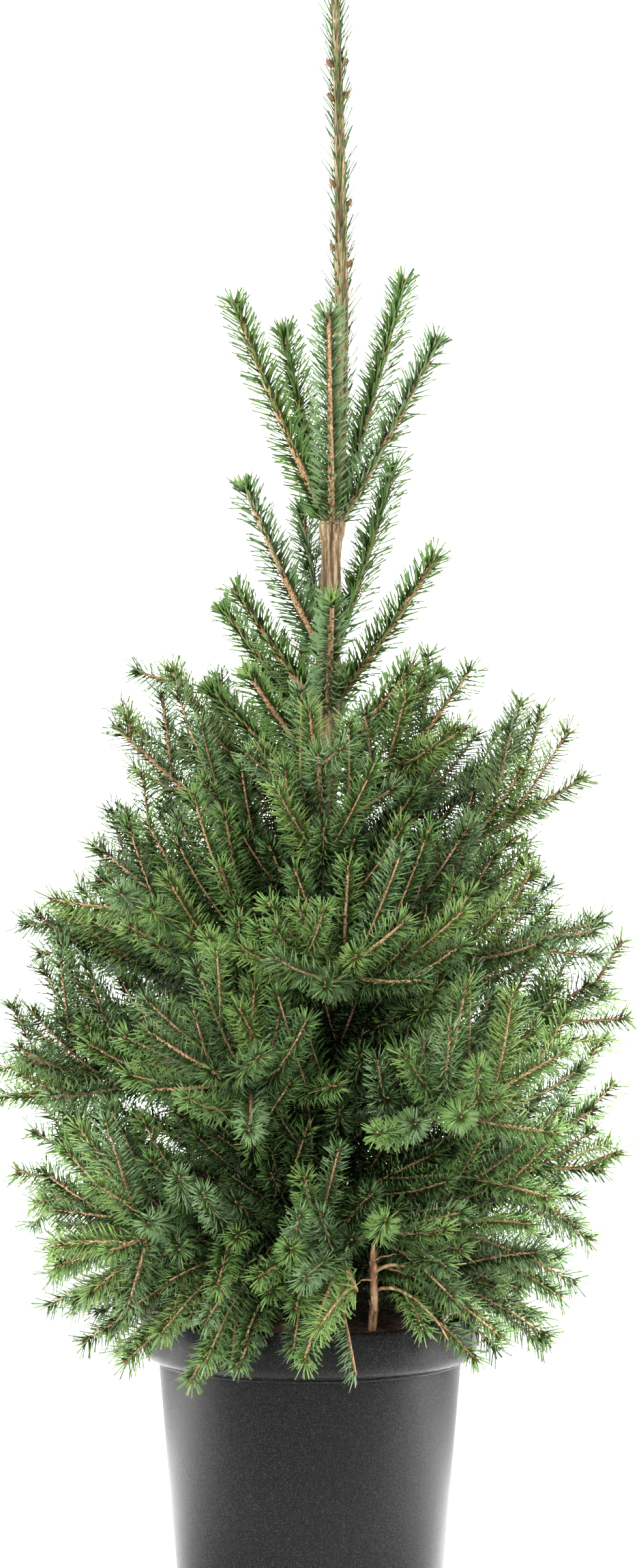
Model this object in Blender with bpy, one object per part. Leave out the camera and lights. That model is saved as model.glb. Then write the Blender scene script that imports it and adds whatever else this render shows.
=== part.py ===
"""Potted Serbian spruce: planter, root ball, trunk, boughs and masses of needle sprays.

Metres, +Z up. The origin is the centre of the planter's flat underside, and -Y is the front.
"""
import math
import random

import bmesh
import bpy
from mathutils import Vector
from mathutils.bvhtree import BVHTree

for old in list(bpy.data.objects):
    bpy.data.objects.remove(old, do_unlink=True)

GAP = 0.0003                  # clearance between pieces that touch
MERGE = 0.000005              # corners closer than this become one
UP = Vector((0, 0, 1))

# Planter
POT_SIDES = 36
POT_HEIGHT = 0.205
FOOT_RADIUS = 0.1015          # where the straight side would meet the ground
SHOULDER_RADIUS = 0.116       # top of the body, under the band
BAND_RADIUS = 0.130           # widest, at the rim
BAND_TAPER = 0.0015
BAND_BOTTOM = 0.167
BAND_ROUND = 0.010            # height of the band's rounded lower edge
FOOT_ROUND = 0.007
WALL = 0.003
FLOOR = 0.004
LIP = 0.0015

# Root ball: fills the planter, tilted so that its left side stands proud of the rim
SOIL_HEIGHT = 0.2075          # its top at the planter's axis
SOIL_TILT = 0.095             # fall of its top towards the right, per metre
SOIL_LUMP = 0.0015
LOW_EDGE = 0.194              # edge of its top on the low side, inside the rim
OVERHANG_RADIUS = 0.1325      # edge of its top on the proud side, over the rim
RISE_SHARE = 0.30             # of the way to the left: the edge has risen above the rim
SPREAD_FROM, SPREAD_TO = 0.45, 0.75
INNER_RING = 0.075
TRUNK_PAD = 0.022             # flat place that the trunk stands on
PAD_HEIGHT = 0.2085

# Trunk and leader
TRUNK_SIDES = 12
TRUNK_FOOT = PAD_HEIGHT + GAP
TRUNK_TOP = 0.822             # the top whorl, where the leader starts
TRUNK_LEAN = 0.0235           # to the right, per metre of height
TRUNK_FOOT_X = 0.003
FLARE_LOBES = (0.16, 0.11, 0.05)      # depth of the root flare's three lobes, ring by ring
TRUNK_RADII = ((0.0, 0.0175), (0.012, 0.0148), (0.035, 0.0128), (0.10, 0.0118), (0.22, 0.0110),
               (0.38, 0.0098), (0.50, 0.0088), (1.0, 0.0078))
LEADER_TOP = 1.262
LEADER_BULGE = 0.0066         # the leader swings to the right and back
LEADER_SIDES = 8
LEADER_RADII = ((0.0, 0.0078), (0.18, 0.0070), (0.38, 0.0062), (0.59, 0.0051), (0.77, 0.0042),
                (0.94, 0.0030), (0.965, 0.0042), (1.0, 0.0009))
LEADER_BARE = 0.045           # stretch above the top whorl with no needles
LEADER_NEEDLES = 36
LEADER_NEEDLE = 0.019
NEEDLE_WIDTH = 0.0013

# Dead stem at the front right: place on the root ball, then height, reach, arch and fall of its twigs
DEAD_STEM_PLACE = (0.046, -0.098)
DEAD_TWIGS = ((0.046, 0.062, 0.009, 0.020), (0.032, 0.056, 0.006, 0.034))

# The crown's outline: height, and how far side twigs may reach from the planter's axis
CROWN_OUTLINE = ((0.150, 0.170), (0.21, 0.200), (0.25, 0.228), (0.30, 0.245), (0.46, 0.250), (0.51, 0.238),
                 (0.56, 0.190), (0.66, 0.155), (0.71, 0.130), (0.76, 0.090))

# Needles along a twig: how far they stand out, and how far forward they point
NEEDLE_REACH = 0.0170
NEEDLE_LEAN = 0.011
SPACE_BETWEEN = 0.0010        # clear air kept round each spray
TIP_RADIUS = 0.0016           # of a mass's stem at its end
TRIES = 6                     # places tried for a side twig before it is left out
SPRAY_REACHES = (0, 0.9, 1, 1, 0.85)       # along a side twig, after its bare foot
SPRAY_CORES = (0.0012, 0.0024, 0.0022, 0.0019, 0.0017, 0.0015)
SPRAY_STEPS = len(SPRAY_REACHES)

# Where side twigs leave their stem, in degrees round it: 0 is one side, 90 the top
SPREAD_TURNS = (15, 165, 85, -40, 220)
HANGING_TURNS = (5, 175, -60, 235, 80, -30, 205)
TURN_SWAY, RETRY_TURN = 20, 25
FIRST_TWIG, LAST_TWIG = 0.36, 0.88        # shares of the limb's length
TWIG_ANGLES = (40, 55)                    # between a side twig and its stem
ROLL_SWAY = 0.7

# Each limb: direction round the trunk in degrees, height of its foot, reach and height of its tip
TOP_SHOOTS = ((-160, 0.800, 0.086, 0.989), (128, 0.799, 0.066, 0.975), (-92, 0.798, 0.088, 0.973),
              (50, 0.800, 0.094, 1.018), (-14, 0.799, 0.090, 0.960))
UPPER_SHOOTS = ((-150, 0.698, 0.080, 0.847), (112, 0.700, 0.062, 0.839), (52, 0.697, 0.091, 0.873),
                (-22, 0.664, 0.097, 0.794), (-88, 0.660, 0.100, 0.755), (-172, 0.659, 0.080, 0.770),
                (155, 0.644, 0.098, 0.756))
MIDDLE_SHOOTS = ((-130, 0.612, 0.100, 0.701), (175, 0.600, 0.101, 0.692), (-46, 0.624, 0.103, 0.707),
                 (12, 0.618, 0.099, 0.704), (80, 0.628, 0.104, 0.706))
HIGH_MASSES = ((-28, 0.560, 0.120, 0.690), (172, 0.556, 0.128, 0.711), (108, 0.572, 0.112, 0.700),
               (-163, 0.528, 0.176, 0.663), (-3, 0.520, 0.213, 0.622), (55, 0.538, 0.176, 0.640),
               (128, 0.525, 0.168, 0.640), (-92, 0.545, 0.135, 0.640))
BROAD_MASSES = ((-22, 0.462, 0.240, 0.512), (38, 0.444, 0.215, 0.550), (98, 0.464, 0.205, 0.505),
                (158, 0.446, 0.236, 0.510), (-138, 0.460, 0.212, 0.535), (-82, 0.442, 0.196, 0.490))
MAIN_BOUGHS = ((10, 0.374, 0.240, 0.455), (68, 0.354, 0.232, 0.395), (128, 0.376, 0.225, 0.455),
               (-172, 0.356, 0.243, 0.405), (-112, 0.374, 0.218, 0.405), (-52, 0.352, 0.225, 0.385))
LOW_BOUGHS = ((-16, 0.290, 0.238, 0.320), (43, 0.270, 0.224, 0.290), (102, 0.290, 0.212, 0.300),
              (164, 0.270, 0.238, 0.290), (-140, 0.288, 0.212, 0.262), (-80, 0.268, 0.186, 0.238))


# ---------------------------------------------------------------- plain geometry

def lerp(a, b, t):
    return a + (b - a) * t


def clamp(t):
    return max(0.0, min(1.0, t))


def table(rows, t):
    """Value at t along rows of (t, value)."""
    for (t0, v0), (t1, v1) in zip(rows, rows[1:]):
        if t <= t1:
            return lerp(v0, v1, (t - t0) / (t1 - t0))
    return rows[-1][1]


def heading(azimuth):
    angle = math.radians(azimuth)
    return Vector((math.cos(angle), math.sin(angle), 0))


def fixed(radius, height):
    """A ring that is the same all the way round."""
    return lambda angle: (radius, height)


def lathe(rings, sides):
    """Closed solid from rings, each a function of the angle that gives (radius, height).

    The first and last rings are single points on the axis.
    """
    verts = [Vector((0, 0, rings[0](0)[1]))]
    for ring in rings[1:-1]:
        for k in range(sides):
            angle = 2 * math.pi * k / sides
            radius, height = ring(angle)
            verts.append(Vector((radius * math.cos(angle), radius * math.sin(angle), height)))
    verts.append(Vector((0, 0, rings[-1](0)[1])))
    last = len(verts) - 1
    faces = []
    for k in range(sides):
        after = (k + 1) % sides
        faces.append((0, 1 + after, 1 + k))
        for row in range(len(rings) - 3):
            low, high = 1 + row * sides, 1 + (row + 1) * sides
            faces.append((low + k, low + after, high + after, high + k))
        top = last - sides
        faces.append((top + k, top + after, last))
    return verts, faces


def tube(points, radii, sides, flat_ends=False, swell=None):
    """Closed tapering limb along points. flat_ends keeps every ring level."""
    verts, faces = [], []
    side = None
    for i, point in enumerate(points):
        ahead = (points[min(i + 1, len(points) - 1)] - points[max(i - 1, 0)]).normalized()
        if flat_ends:
            ahead = UP
        if side is None:
            side = ahead.orthogonal().normalized() if not flat_ends else Vector((1, 0, 0))
        side = (side - ahead * side.dot(ahead)).normalized()
        across = ahead.cross(side)
        for k in range(sides):
            angle = 2 * math.pi * k / sides
            radius = radii[i] * (1 + swell(i, angle) if swell else 1)
            verts.append(point + (side * math.cos(angle) + across * math.sin(angle)) * radius)
    for i in range(len(points) - 1):
        for k in range(sides):
            after = (k + 1) % sides
            faces.append((i * sides + k, i * sides + after, (i + 1) * sides + after, (i + 1) * sides + k))
    faces.append(tuple(reversed(range(sides))))
    faces.append(tuple(range(len(verts) - sides, len(verts))))
    return verts, faces


def bend(start, tip, bow, t):
    """Point at t on a limb that bows up (or down) between its ends."""
    middle = (start + tip) / 2 + UP * bow * (tip - start).length
    return start * (1 - t) ** 2 + middle * 2 * t * (1 - t) + tip * t ** 2


def frames(axis, side):
    """Point, forward, sideways and over directions at each station of a curved axis."""
    rows, last = [], len(axis) - 1
    for i, point in enumerate(axis):
        ahead = (axis[min(i + 1, last)] - axis[max(i - 1, 0)]).normalized()
        flat = (side - ahead * side.dot(ahead)).normalized()
        rows.append((point, ahead, flat, ahead.cross(flat)))
    return rows


def brush(axis, side, rows, reaches, cores):
    """Twig and needles: a slim core, each face of which rises to one needle that points forward.

    rows is the number of faces round the core, and cores its radius at each station.
    A reach of 0 leaves that stretch of the core bare.
    """
    stations = frames(axis, side)
    count = len(axis) - 1
    turns = [2 * math.pi * k / rows - math.pi / 2 + math.pi / rows for k in range(rows)]
    verts = []
    for (point, _, flat, over), core in zip(stations, cores):
        verts += [point + (flat * math.cos(a) + over * math.sin(a)) * core for a in turns]
    faces = [tuple(reversed(range(rows)))]
    for i in range(count):
        _, ahead, flat, over = stations[i]
        for k in range(rows):
            after = (k + 1) % rows
            quad = (i * rows + k, i * rows + after, (i + 1) * rows + after, (i + 1) * rows + k)
            if not reaches[i]:
                faces.append(quad)
                continue
            angle = turns[k] + math.pi / rows
            outward = flat * math.cos(angle) + over * math.sin(angle)
            foot = lerp(axis[i], axis[i + 1], 0.6)
            verts.append(foot + outward * NEEDLE_REACH * reaches[i] + ahead * NEEDLE_LEAN * reaches[i])
            faces += [(quad[j], quad[(j + 1) % 4], len(verts) - 1) for j in range(4)]
    verts.append(axis[-1] + stations[-1][1] * NEEDLE_REACH)
    first = count * rows
    faces += [(first + k, first + (k + 1) % rows, len(verts) - 1) for k in range(rows)]
    return verts, faces


def reach_hull(axis, side, rows):
    """Plain prism round a spray's needles, for keeping sprays apart."""
    tip = axis[-1] + (axis[-1] - axis[-2]).normalized() * (NEEDLE_REACH + SPACE_BETWEEN)
    stations = frames(list(axis[1:]) + [tip], side)
    turns = [2 * math.pi * k / rows - math.pi / 2 + 2 * math.pi / rows for k in range(rows)]
    verts, faces = [], []
    for i, (point, _, flat, over) in enumerate(stations):
        wide = NEEDLE_REACH + SPACE_BETWEEN
        if i in (0, len(stations) - 1):
            wide *= 0.4
        verts += [point + (flat * math.cos(a) + over * math.sin(a)) * wide for a in turns]
    for i in range(len(stations) - 1):
        for k in range(rows):
            after = (k + 1) % rows
            faces.append((i * rows + k, i * rows + after, (i + 1) * rows + after, (i + 1) * rows + k))
    faces += [tuple(reversed(range(rows))), tuple(range(len(verts) - rows, len(verts)))]
    return verts, faces


# ---------------------------------------------------------------- objects and materials

def finish(name, colour, roughness):
    material = bpy.data.materials.new(name)
    material.use_nodes = True
    shader = material.node_tree.nodes["Principled BSDF"]
    shader.inputs["Base Color"].default_value = (*colour, 1)
    shader.inputs["Roughness"].default_value = roughness
    return material


def mesh_object(name, piece, group=None):
    mesh = bpy.data.meshes.new(name)
    mesh.from_pydata([tuple(v) for v in piece[0]], [], piece[1])
    shape = bmesh.new()
    shape.from_mesh(mesh)
    bmesh.ops.recalc_face_normals(shape, faces=shape.faces)
    shape.to_mesh(mesh)
    shape.free()
    made = bpy.data.objects.new(name, mesh)
    (group or bpy.context.scene.collection).objects.link(made)
    return made


def settle(made):
    """Apply the object's modifiers to its mesh."""
    evaluated = made.evaluated_get(bpy.context.evaluated_depsgraph_get())
    mesh = bpy.data.meshes.new_from_object(evaluated)
    made.modifiers.clear()
    made.data = mesh


def boolean(made, operation, group):
    join = made.modifiers.new("join", "BOOLEAN")
    join.operation = operation
    join.operand_type = "COLLECTION"
    join.collection = group
    join.solver = "MANIFOLD"
    settle(made)
    for used in list(group.objects):
        bpy.data.objects.remove(used, do_unlink=True)
    bpy.data.collections.remove(group)


def gather(name, pieces):
    group = bpy.data.collections.new(name)
    bpy.context.scene.collection.children.link(group)
    for number, piece in enumerate(pieces):
        mesh_object(f"{name}_{number}", piece, group)
    return group


def keep_body(made):
    """Merge doubled corners and drop loose scraps, so that one closed body is left."""
    shape = bmesh.new()
    shape.from_mesh(made.data)
    bmesh.ops.remove_doubles(shape, verts=shape.verts, dist=MERGE)
    islands, left = [], set(shape.verts)
    while left:
        found, queue = set(), [left.pop()]
        while queue:
            vert = queue.pop()
            found.add(vert)
            for edge in vert.link_edges:
                other = edge.other_vert(vert)
                if other in left:
                    left.remove(other)
                    queue.append(other)
        islands.append(found)
    islands.sort(key=len)
    for scrap in islands[:-1]:
        bmesh.ops.delete(shape, geom=list(scrap), context="VERTS")
    shape.to_mesh(made.data)
    shape.free()


def build(name, pieces, material, cutters=()):
    """One node: the pieces fused into one body, cut clear of what carries it."""
    made = mesh_object(name, pieces[0])
    if len(pieces) > 1:
        boolean(made, "UNION", gather(name + "_sprays", pieces[1:]))
    if cutters:
        boolean(made, "DIFFERENCE", gather(name + "_clearance", cutters))
    keep_body(made)
    made.data.materials.clear()
    made.data.materials.append(material)
    return made


# ---------------------------------------------------------------- planter and root ball

def planter():
    """Round tapered pot with a wider band at its rim, open above a flat floor."""
    slope = (SHOULDER_RADIUS - FOOT_RADIUS) / BAND_BOTTOM
    step = BAND_RADIUS - BAND_TAPER - SHOULDER_RADIUS
    rings = [fixed(0, 0), fixed(FOOT_RADIUS - FOOT_ROUND, 0)]
    for turn in (45, 90):
        angle = math.radians(turn)
        rings.append(fixed(FOOT_RADIUS - FOOT_ROUND * (1 - math.sin(angle)) + slope * FOOT_ROUND,
                           FOOT_ROUND * (1 - math.cos(angle))))
    rings.append(fixed(SHOULDER_RADIUS, BAND_BOTTOM))
    for turn in (70, 35, 0):
        angle = math.radians(turn)
        rings.append(fixed(SHOULDER_RADIUS + step * math.cos(angle),
                           BAND_BOTTOM + BAND_ROUND * (1 - math.sin(angle))))
    rings += [fixed(BAND_RADIUS, POT_HEIGHT - LIP), fixed(BAND_RADIUS - LIP, POT_HEIGHT),
              fixed(BAND_RADIUS - WALL, POT_HEIGHT), fixed(BAND_RADIUS - WALL - LIP, POT_HEIGHT - LIP),
              fixed(BAND_RADIUS - WALL - LIP - BAND_TAPER, BAND_BOTTOM + BAND_ROUND + WALL),
              fixed(SHOULDER_RADIUS - WALL, BAND_BOTTOM + WALL),
              fixed(FOOT_RADIUS - WALL, FLOOR), fixed(0, FLOOR)]
    return lathe(rings, POT_SIDES)


def root_ball():
    """Soil and roots inside the planter, with the proud left edge lying over its rim."""
    seeded = random.Random(4)
    lumps = [seeded.uniform(-SOIL_LUMP, SOIL_LUMP) for _ in range(POT_SIDES)]

    def proud(angle):
        return clamp(-math.cos(angle))

    def surface(radius, angle):
        return SOIL_HEIGHT - SOIL_TILT * radius * math.cos(angle)

    def shelf(angle):
        return lerp(LOW_EDGE, POT_HEIGHT + 2 * GAP, clamp(proud(angle) / RISE_SHARE))

    def edge(angle):
        spread = clamp((proud(angle) - SPREAD_FROM) / (SPREAD_TO - SPREAD_FROM))
        return lerp(throat - LIP, OVERHANG_RADIUS, spread)

    def lump(angle):
        return lumps[round(angle / (2 * math.pi) * POT_SIDES) % POT_SIDES]

    throat = BAND_RADIUS - WALL - LIP - BAND_TAPER - 2 * GAP
    rings = [fixed(0, FLOOR + GAP), fixed(FOOT_RADIUS - WALL - 2 * GAP, FLOOR + GAP),
             fixed(SHOULDER_RADIUS - WALL - 2 * GAP, BAND_BOTTOM + WALL + 0.0005),
             fixed(throat, BAND_BOTTOM + BAND_ROUND + WALL + 0.0008),
             lambda a: (throat, shelf(a)),
             lambda a: (edge(a), shelf(a) + 0.0004),
             lambda a: (edge(a) + 0.0005, lerp(shelf(a) + 0.0012, surface(BAND_RADIUS, a), 0.55)),
             lambda a: (edge(a) - 0.005, surface(edge(a) - 0.005, a) + lump(a)),
             lambda a: (INNER_RING, surface(INNER_RING, a) + 2 * lump(a)),
             fixed(TRUNK_PAD, PAD_HEIGHT), fixed(0, PAD_HEIGHT)]
    return lathe(rings, POT_SIDES)


# ---------------------------------------------------------------- trunk and leader

def trunk_axis(height):
    return Vector((TRUNK_FOOT_X + TRUNK_LEAN * (height - TRUNK_FOOT), 0, height))


def trunk(extra=0.0):
    """The trunk, or with extra its clearance solid, which runs past both ends."""
    heights = [TRUNK_FOOT + t * (TRUNK_TOP - TRUNK_FOOT) for t, _ in TRUNK_RADII]
    radii = [radius + extra for _, radius in TRUNK_RADII]
    if extra:
        heights[0] -= 0.01
        heights[-1] += 0.003

    def flare(ring, angle):
        return FLARE_LOBES[ring] * math.cos(3 * angle + 0.7) if ring < len(FLARE_LOBES) else 0

    return tube([trunk_axis(z) for z in heights], radii, TRUNK_SIDES, True, flare)


def leader_axis(height):
    t = clamp((height - TRUNK_TOP) / (LEADER_TOP - TRUNK_TOP))
    swing = LEADER_BULGE * math.sin(math.pi * t ** 0.75)
    return Vector((trunk_axis(TRUNK_TOP).x + swing, 0, height))


def leader_stem(extra=0.0):
    """Leading shoot with the bud at its tip, standing on the trunk's top."""
    foot = TRUNK_TOP + GAP - extra
    heights = [lerp(foot, LEADER_TOP, t) for t, _ in LEADER_RADII]
    radii = [radius + extra for _, radius in LEADER_RADII]
    return tube([leader_axis(z) for z in heights], radii, LEADER_SIDES, True)


def needle(root, direction, length):
    """One stout needle: a three-sided spike with its root sunk in the stem."""
    side = direction.orthogonal().normalized()
    across = direction.cross(side)
    turns = [math.radians(20 + 120 * k) for k in range(3)]
    base = [root + (side * math.cos(a) + across * math.sin(a)) * NEEDLE_WIDTH for a in turns]
    return base + [root + direction * length], [(0, 2, 1), (0, 1, 3), (1, 2, 3), (2, 0, 3)]


def leader_needles():
    golden = math.pi * (3 - math.sqrt(5))
    spikes = []
    for k in range(LEADER_NEEDLES):
        t = (k + 0.5) / LEADER_NEEDLES
        height = lerp(TRUNK_TOP + LEADER_BARE, LEADER_TOP - LEADER_NEEDLE, t)
        out = Vector((math.cos(k * golden), math.sin(k * golden), 0))
        lean = math.radians(lerp(52, 68, t))
        direction = out * math.cos(lean) + UP * math.sin(lean)
        spikes.append(needle(leader_axis(height) + out * 0.001, direction, LEADER_NEEDLE))
    return spikes


# ---------------------------------------------------------------- the growing rule

class Limb:
    """A limb from the trunk to its tip: a bough for the given share, then the stem of a mass.

    pieces are its solids so far, and hulls the spaces that other limbs' twigs keep out of.
    """

    def __init__(self, name, row, seed, bow, radius, bough=0.0, sprays=0, twig=0.0, droop=0.0):
        azimuth, foot, reach, tip_height = row
        self.name, self.bow, self.radius, self.bough = name, bow, radius, bough
        self.sprays, self.twig, self.droop = sprays, twig, droop
        self.start = trunk_axis(foot)
        self.tip = self.start + heading(azimuth) * reach
        self.tip.z = tip_height
        self.length = (self.tip - self.start).length
        self.side = UP.cross(heading(azimuth))
        self.rng = random.Random(seed)
        self.pieces, self.hulls = [], []
        self.line = [self.at(t / 10) for t in range(2, 11)]

    def at(self, t):
        return bend(self.start, self.tip, self.bow, t)

    def ahead(self, t):
        return (self.at(t + 0.02) - self.at(t - 0.02)).normalized()

    def thickness(self, t):
        return lerp(self.radius, TIP_RADIUS, t ** 0.8)


def tree_of(piece):
    return BVHTree.FromPolygons(piece[0], piece[1], all_triangles=False)


def distance_to(line, point):
    return min((point - place).length for place in line)


def in_crown(point):
    return math.hypot(point.x, point.y) < table(CROWN_OUTLINE, max(point.z, CROWN_OUTLINE[0][0]))


def clear_of(tree, others):
    return not any(tree.overlap(other) for other in others)


def own_space(limb, limbs, point):
    """A twig keeps to its mass's space: nearer to its own stem than to any other."""
    own = distance_to(limb.line, point)
    return all(own < distance_to(other.line, point) + 0.004 for other in limbs if other is not limb)


def curved(root, direction, lift, length, steps):
    points = []
    for i in range(steps + 1):
        t = i / steps
        points.append(root + (direction * t + lift * t * t) * length)
    return points


def side_twig(limb, number, attempt):
    """Axis of side twig number of a mass, and the sideways direction of its needles."""
    rng = limb.rng
    share = number / (limb.sprays - 1)
    t = max(lerp(FIRST_TWIG, LAST_TWIG, share) + rng.uniform(-0.03, 0.03), limb.bough + 0.10)
    turns = HANGING_TURNS if limb.droop else SPREAD_TURNS
    turn = turns[number % len(turns)] + rng.uniform(-TURN_SWAY, TURN_SWAY)
    turn = math.radians(turn + attempt * RETRY_TURN * (-1) ** attempt)
    ahead = limb.ahead(t)
    over = limb.side.cross(ahead).normalized()
    if over.z < 0:
        over.negate()
    outward = limb.side * math.cos(turn) + over * math.sin(turn)
    spread = math.radians(rng.uniform(*TWIG_ANGLES))
    direction = (ahead * math.cos(spread) + outward * math.sin(spread)).normalized()
    length = limb.twig * rng.uniform(0.9, 1.1) * lerp(1.15, 0.65, share) * (1 - 0.09 * attempt)
    lift = ahead * 0.12 + UP * (0.10 - 0.30 * limb.droop)
    roll = rng.uniform(-ROLL_SWAY, ROLL_SWAY)
    flat = direction.cross(outward).normalized()
    across = direction.cross(flat).normalized()
    axis = curved(limb.at(t), direction, lift, length - NEEDLE_REACH, SPRAY_STEPS)
    return axis, across * math.cos(roll) + flat * math.sin(roll)


def grow_twig(limb, number, limbs, fixed_trees):
    """Add one side twig with its needles, where there is room for it."""
    others = fixed_trees + [h for other in limbs if other is not limb for h in other.hulls]
    for attempt in range(TRIES):
        axis, side = side_twig(limb, number, attempt)
        if not (in_crown(axis[-1]) and own_space(limb, limbs, axis[-1])):
            continue
        space = tree_of(reach_hull(axis, side, 3))
        if clear_of(space, others):
            limb.pieces.append(brush(axis, side, 3, SPRAY_REACHES, SPRAY_CORES))
            limb.hulls.append(space)
            return


def grow_stem(limb, limbs, fixed_trees):
    """Stem of a mass, from the trunk or its bough's tip, with needles all round its outer stretch.

    The needles start as far back as there is room for them.
    """
    others = fixed_trees + [h for other in limbs if other is not limb for h in other.hulls]
    first, needled = (0.64, 3) if limb.sprays else (0.24, 6)
    stop = 1 - NEEDLE_REACH / limb.length
    for start in [first + 0.05 * k for k in range(8)]:
        outer = [lerp(start, stop, i / needled) for i in range(needled + 1)]
        space = tree_of(reach_hull([limb.at(t) for t in outer], limb.side, 4))
        if clear_of(space, others):
            break
    stations = [limb.bough, (limb.bough + start) / 2] + outer
    axis = [limb.at(t) for t in stations]
    if limb.bough:
        axis[0] = axis[0] + limb.ahead(limb.bough) * GAP
    reaches = [0, 0] + [1] * (needled - 1) + [0.85]
    stem = brush(axis, limb.side, 4, reaches, [limb.thickness(t) for t in stations])
    limb.pieces.append(stem)
    limb.hulls = [tree_of(stem), space]


def stem_space(limb):
    """Plain tube where a stem will run, which other masses' needles keep off."""
    stations = [lerp(limb.bough, 1, i / 5) for i in range(6)]
    return tree_of(tube([limb.at(t) for t in stations], [limb.thickness(t) + 0.001 for t in stations], 4))


def bough(limb):
    """The bare inner stretch of a limb, a little thicker than the stem that goes on from it."""
    stations = [limb.bough * i / 3 for i in range(4)]
    return tube([limb.at(t) for t in stations], [limb.thickness(t) * 1.1 for t in stations], 6)


def make_limbs():
    """Every limb, whorl by whorl from the top; only the two lowest tiers have boughs of their own."""
    kinds = (
        ("top_shoot", TOP_SHOOTS, dict(bow=-0.05, radius=0.0034)),
        ("upper_shoot", UPPER_SHOOTS, dict(bow=-0.06, radius=0.0036)),
        ("middle_shoot", MIDDLE_SHOOTS, dict(bow=-0.06, radius=0.0036)),
        ("high_mass", HIGH_MASSES, dict(bow=-0.08, radius=0.0044, sprays=4, twig=0.080)),
        ("broad_mass", BROAD_MASSES, dict(bow=-0.06, radius=0.0050, sprays=6, twig=0.105)),
        ("main", MAIN_BOUGHS, dict(bow=-0.04, radius=0.0050, sprays=7, twig=0.112, bough=0.28)),
        ("low", LOW_BOUGHS, dict(bow=0.07, radius=0.0050, sprays=7, twig=0.112, bough=0.28, droop=0.7)),
    )
    limbs = []
    for kind, rows, form in kinds:
        for number, row in enumerate(rows):
            seed = len(limbs) + 11
            limbs.append(Limb(f"{kind}_{number + 1}", row, seed=seed, **form))
    return limbs


def grow(limbs, fixed_trees):
    """Stems first, then one side twig on each mass in turn, so that all get their share of room."""
    for limb in limbs:
        limb.hulls.append(stem_space(limb))
    for limb in limbs:
        grow_stem(limb, limbs, fixed_trees)
    for number in range(max(limb.sprays for limb in limbs)):
        for limb in limbs:
            if number < limb.sprays:
                grow_twig(limb, number, limbs, fixed_trees)


# ---------------------------------------------------------------- dead stem

def dead_stem():
    """Short dead stem with two wiry twigs, standing at the front right of the root ball."""
    above = Vector((*DEAD_STEM_PLACE, 2 * POT_HEIGHT))
    foot = tree_of(root_ball()).ray_cast(above, -UP)[0] + UP * 2 * GAP
    stem = tube([foot, foot + Vector((0.002, 0, 0.03)), foot + Vector((0.001, -0.001, 0.066))],
                [0.0030, 0.0026, 0.0018], 6, True)
    twigs = []
    for height, reach, rise, fall in DEAD_TWIGS:
        line = []
        for t in (0, 0.33, 0.66, 1):
            side = Vector((reach * t, -0.012 * t, 4 * rise * t * (1 - t) - fall * t * t))
            line.append(foot + Vector((0.0012, -0.0005, height)) + side)
        twigs.append(tube(line, [0.0016, 0.0013, 0.0011, 0.0007], 3))
    return [stem] + twigs


# ---------------------------------------------------------------- assembly

def main():
    plastic = finish("anthracite_plastic", (0.045, 0.047, 0.050), 0.42)
    soil = finish("root_mat", (0.16, 0.095, 0.05), 0.95)
    bark = finish("bark", (0.30, 0.20, 0.12), 0.85)
    needles = finish("needles", (0.09, 0.17, 0.06), 0.6)
    dead = finish("dead_bark", (0.36, 0.23, 0.13), 0.9)

    build("pot", [planter()], plastic)
    build("root_ball", [root_ball()], soil)
    build("trunk", [trunk()], bark)
    build("leader", [leader_stem()] + leader_needles(), needles)
    build("dead_stem", dead_stem(), dead)

    limbs = make_limbs()
    boughs = {limb.name: bough(limb) for limb in limbs if limb.bough}
    obstacles = [planter(), root_ball(), trunk(SPACE_BETWEEN), leader_stem(SPACE_BETWEEN)]
    obstacles += leader_needles() + dead_stem() + list(boughs.values())
    grow(limbs, [tree_of(piece) for piece in obstacles])

    clearance = [trunk(GAP), leader_stem(GAP)]
    for limb in limbs:
        if limb.bough:
            build(limb.name + "_bough", [boughs[limb.name]], bark, clearance[:1])
            build(limb.name + "_mass", limb.pieces, needles)
        else:
            build(limb.name, limb.pieces, needles, clearance)
    for made in bpy.context.scene.objects:
        made.data.shade_smooth()
        made.data.set_sharp_from_angle(angle=math.radians(32))


main()
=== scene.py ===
import random
from math import atan2, cos, exp, hypot, pi, radians, sin

import bpy
import numpy as np
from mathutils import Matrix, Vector, kdtree, noise


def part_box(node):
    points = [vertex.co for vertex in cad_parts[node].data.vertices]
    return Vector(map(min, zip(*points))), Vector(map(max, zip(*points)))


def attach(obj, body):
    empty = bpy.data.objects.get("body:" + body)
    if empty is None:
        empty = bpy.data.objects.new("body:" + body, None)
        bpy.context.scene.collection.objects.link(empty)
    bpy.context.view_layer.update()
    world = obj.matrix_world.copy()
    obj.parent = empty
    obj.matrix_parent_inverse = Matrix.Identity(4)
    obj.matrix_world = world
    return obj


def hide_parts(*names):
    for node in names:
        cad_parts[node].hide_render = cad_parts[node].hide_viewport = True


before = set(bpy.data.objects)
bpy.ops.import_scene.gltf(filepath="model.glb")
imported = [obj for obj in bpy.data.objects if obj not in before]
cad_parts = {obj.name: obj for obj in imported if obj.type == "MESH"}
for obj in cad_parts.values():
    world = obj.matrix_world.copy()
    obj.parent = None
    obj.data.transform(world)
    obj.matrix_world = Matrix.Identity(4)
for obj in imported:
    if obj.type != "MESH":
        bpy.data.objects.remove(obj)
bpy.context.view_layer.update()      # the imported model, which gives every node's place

upward = Vector((0, 0, 1))
fullTurn = 6.28      # radians
tiny = 1e-6


# small sums that several pieces share

def mix(a, b, t):
    return a + (b - a) * t


def clamp(t):
    return max(0.0, min(1.0, t))


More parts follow.
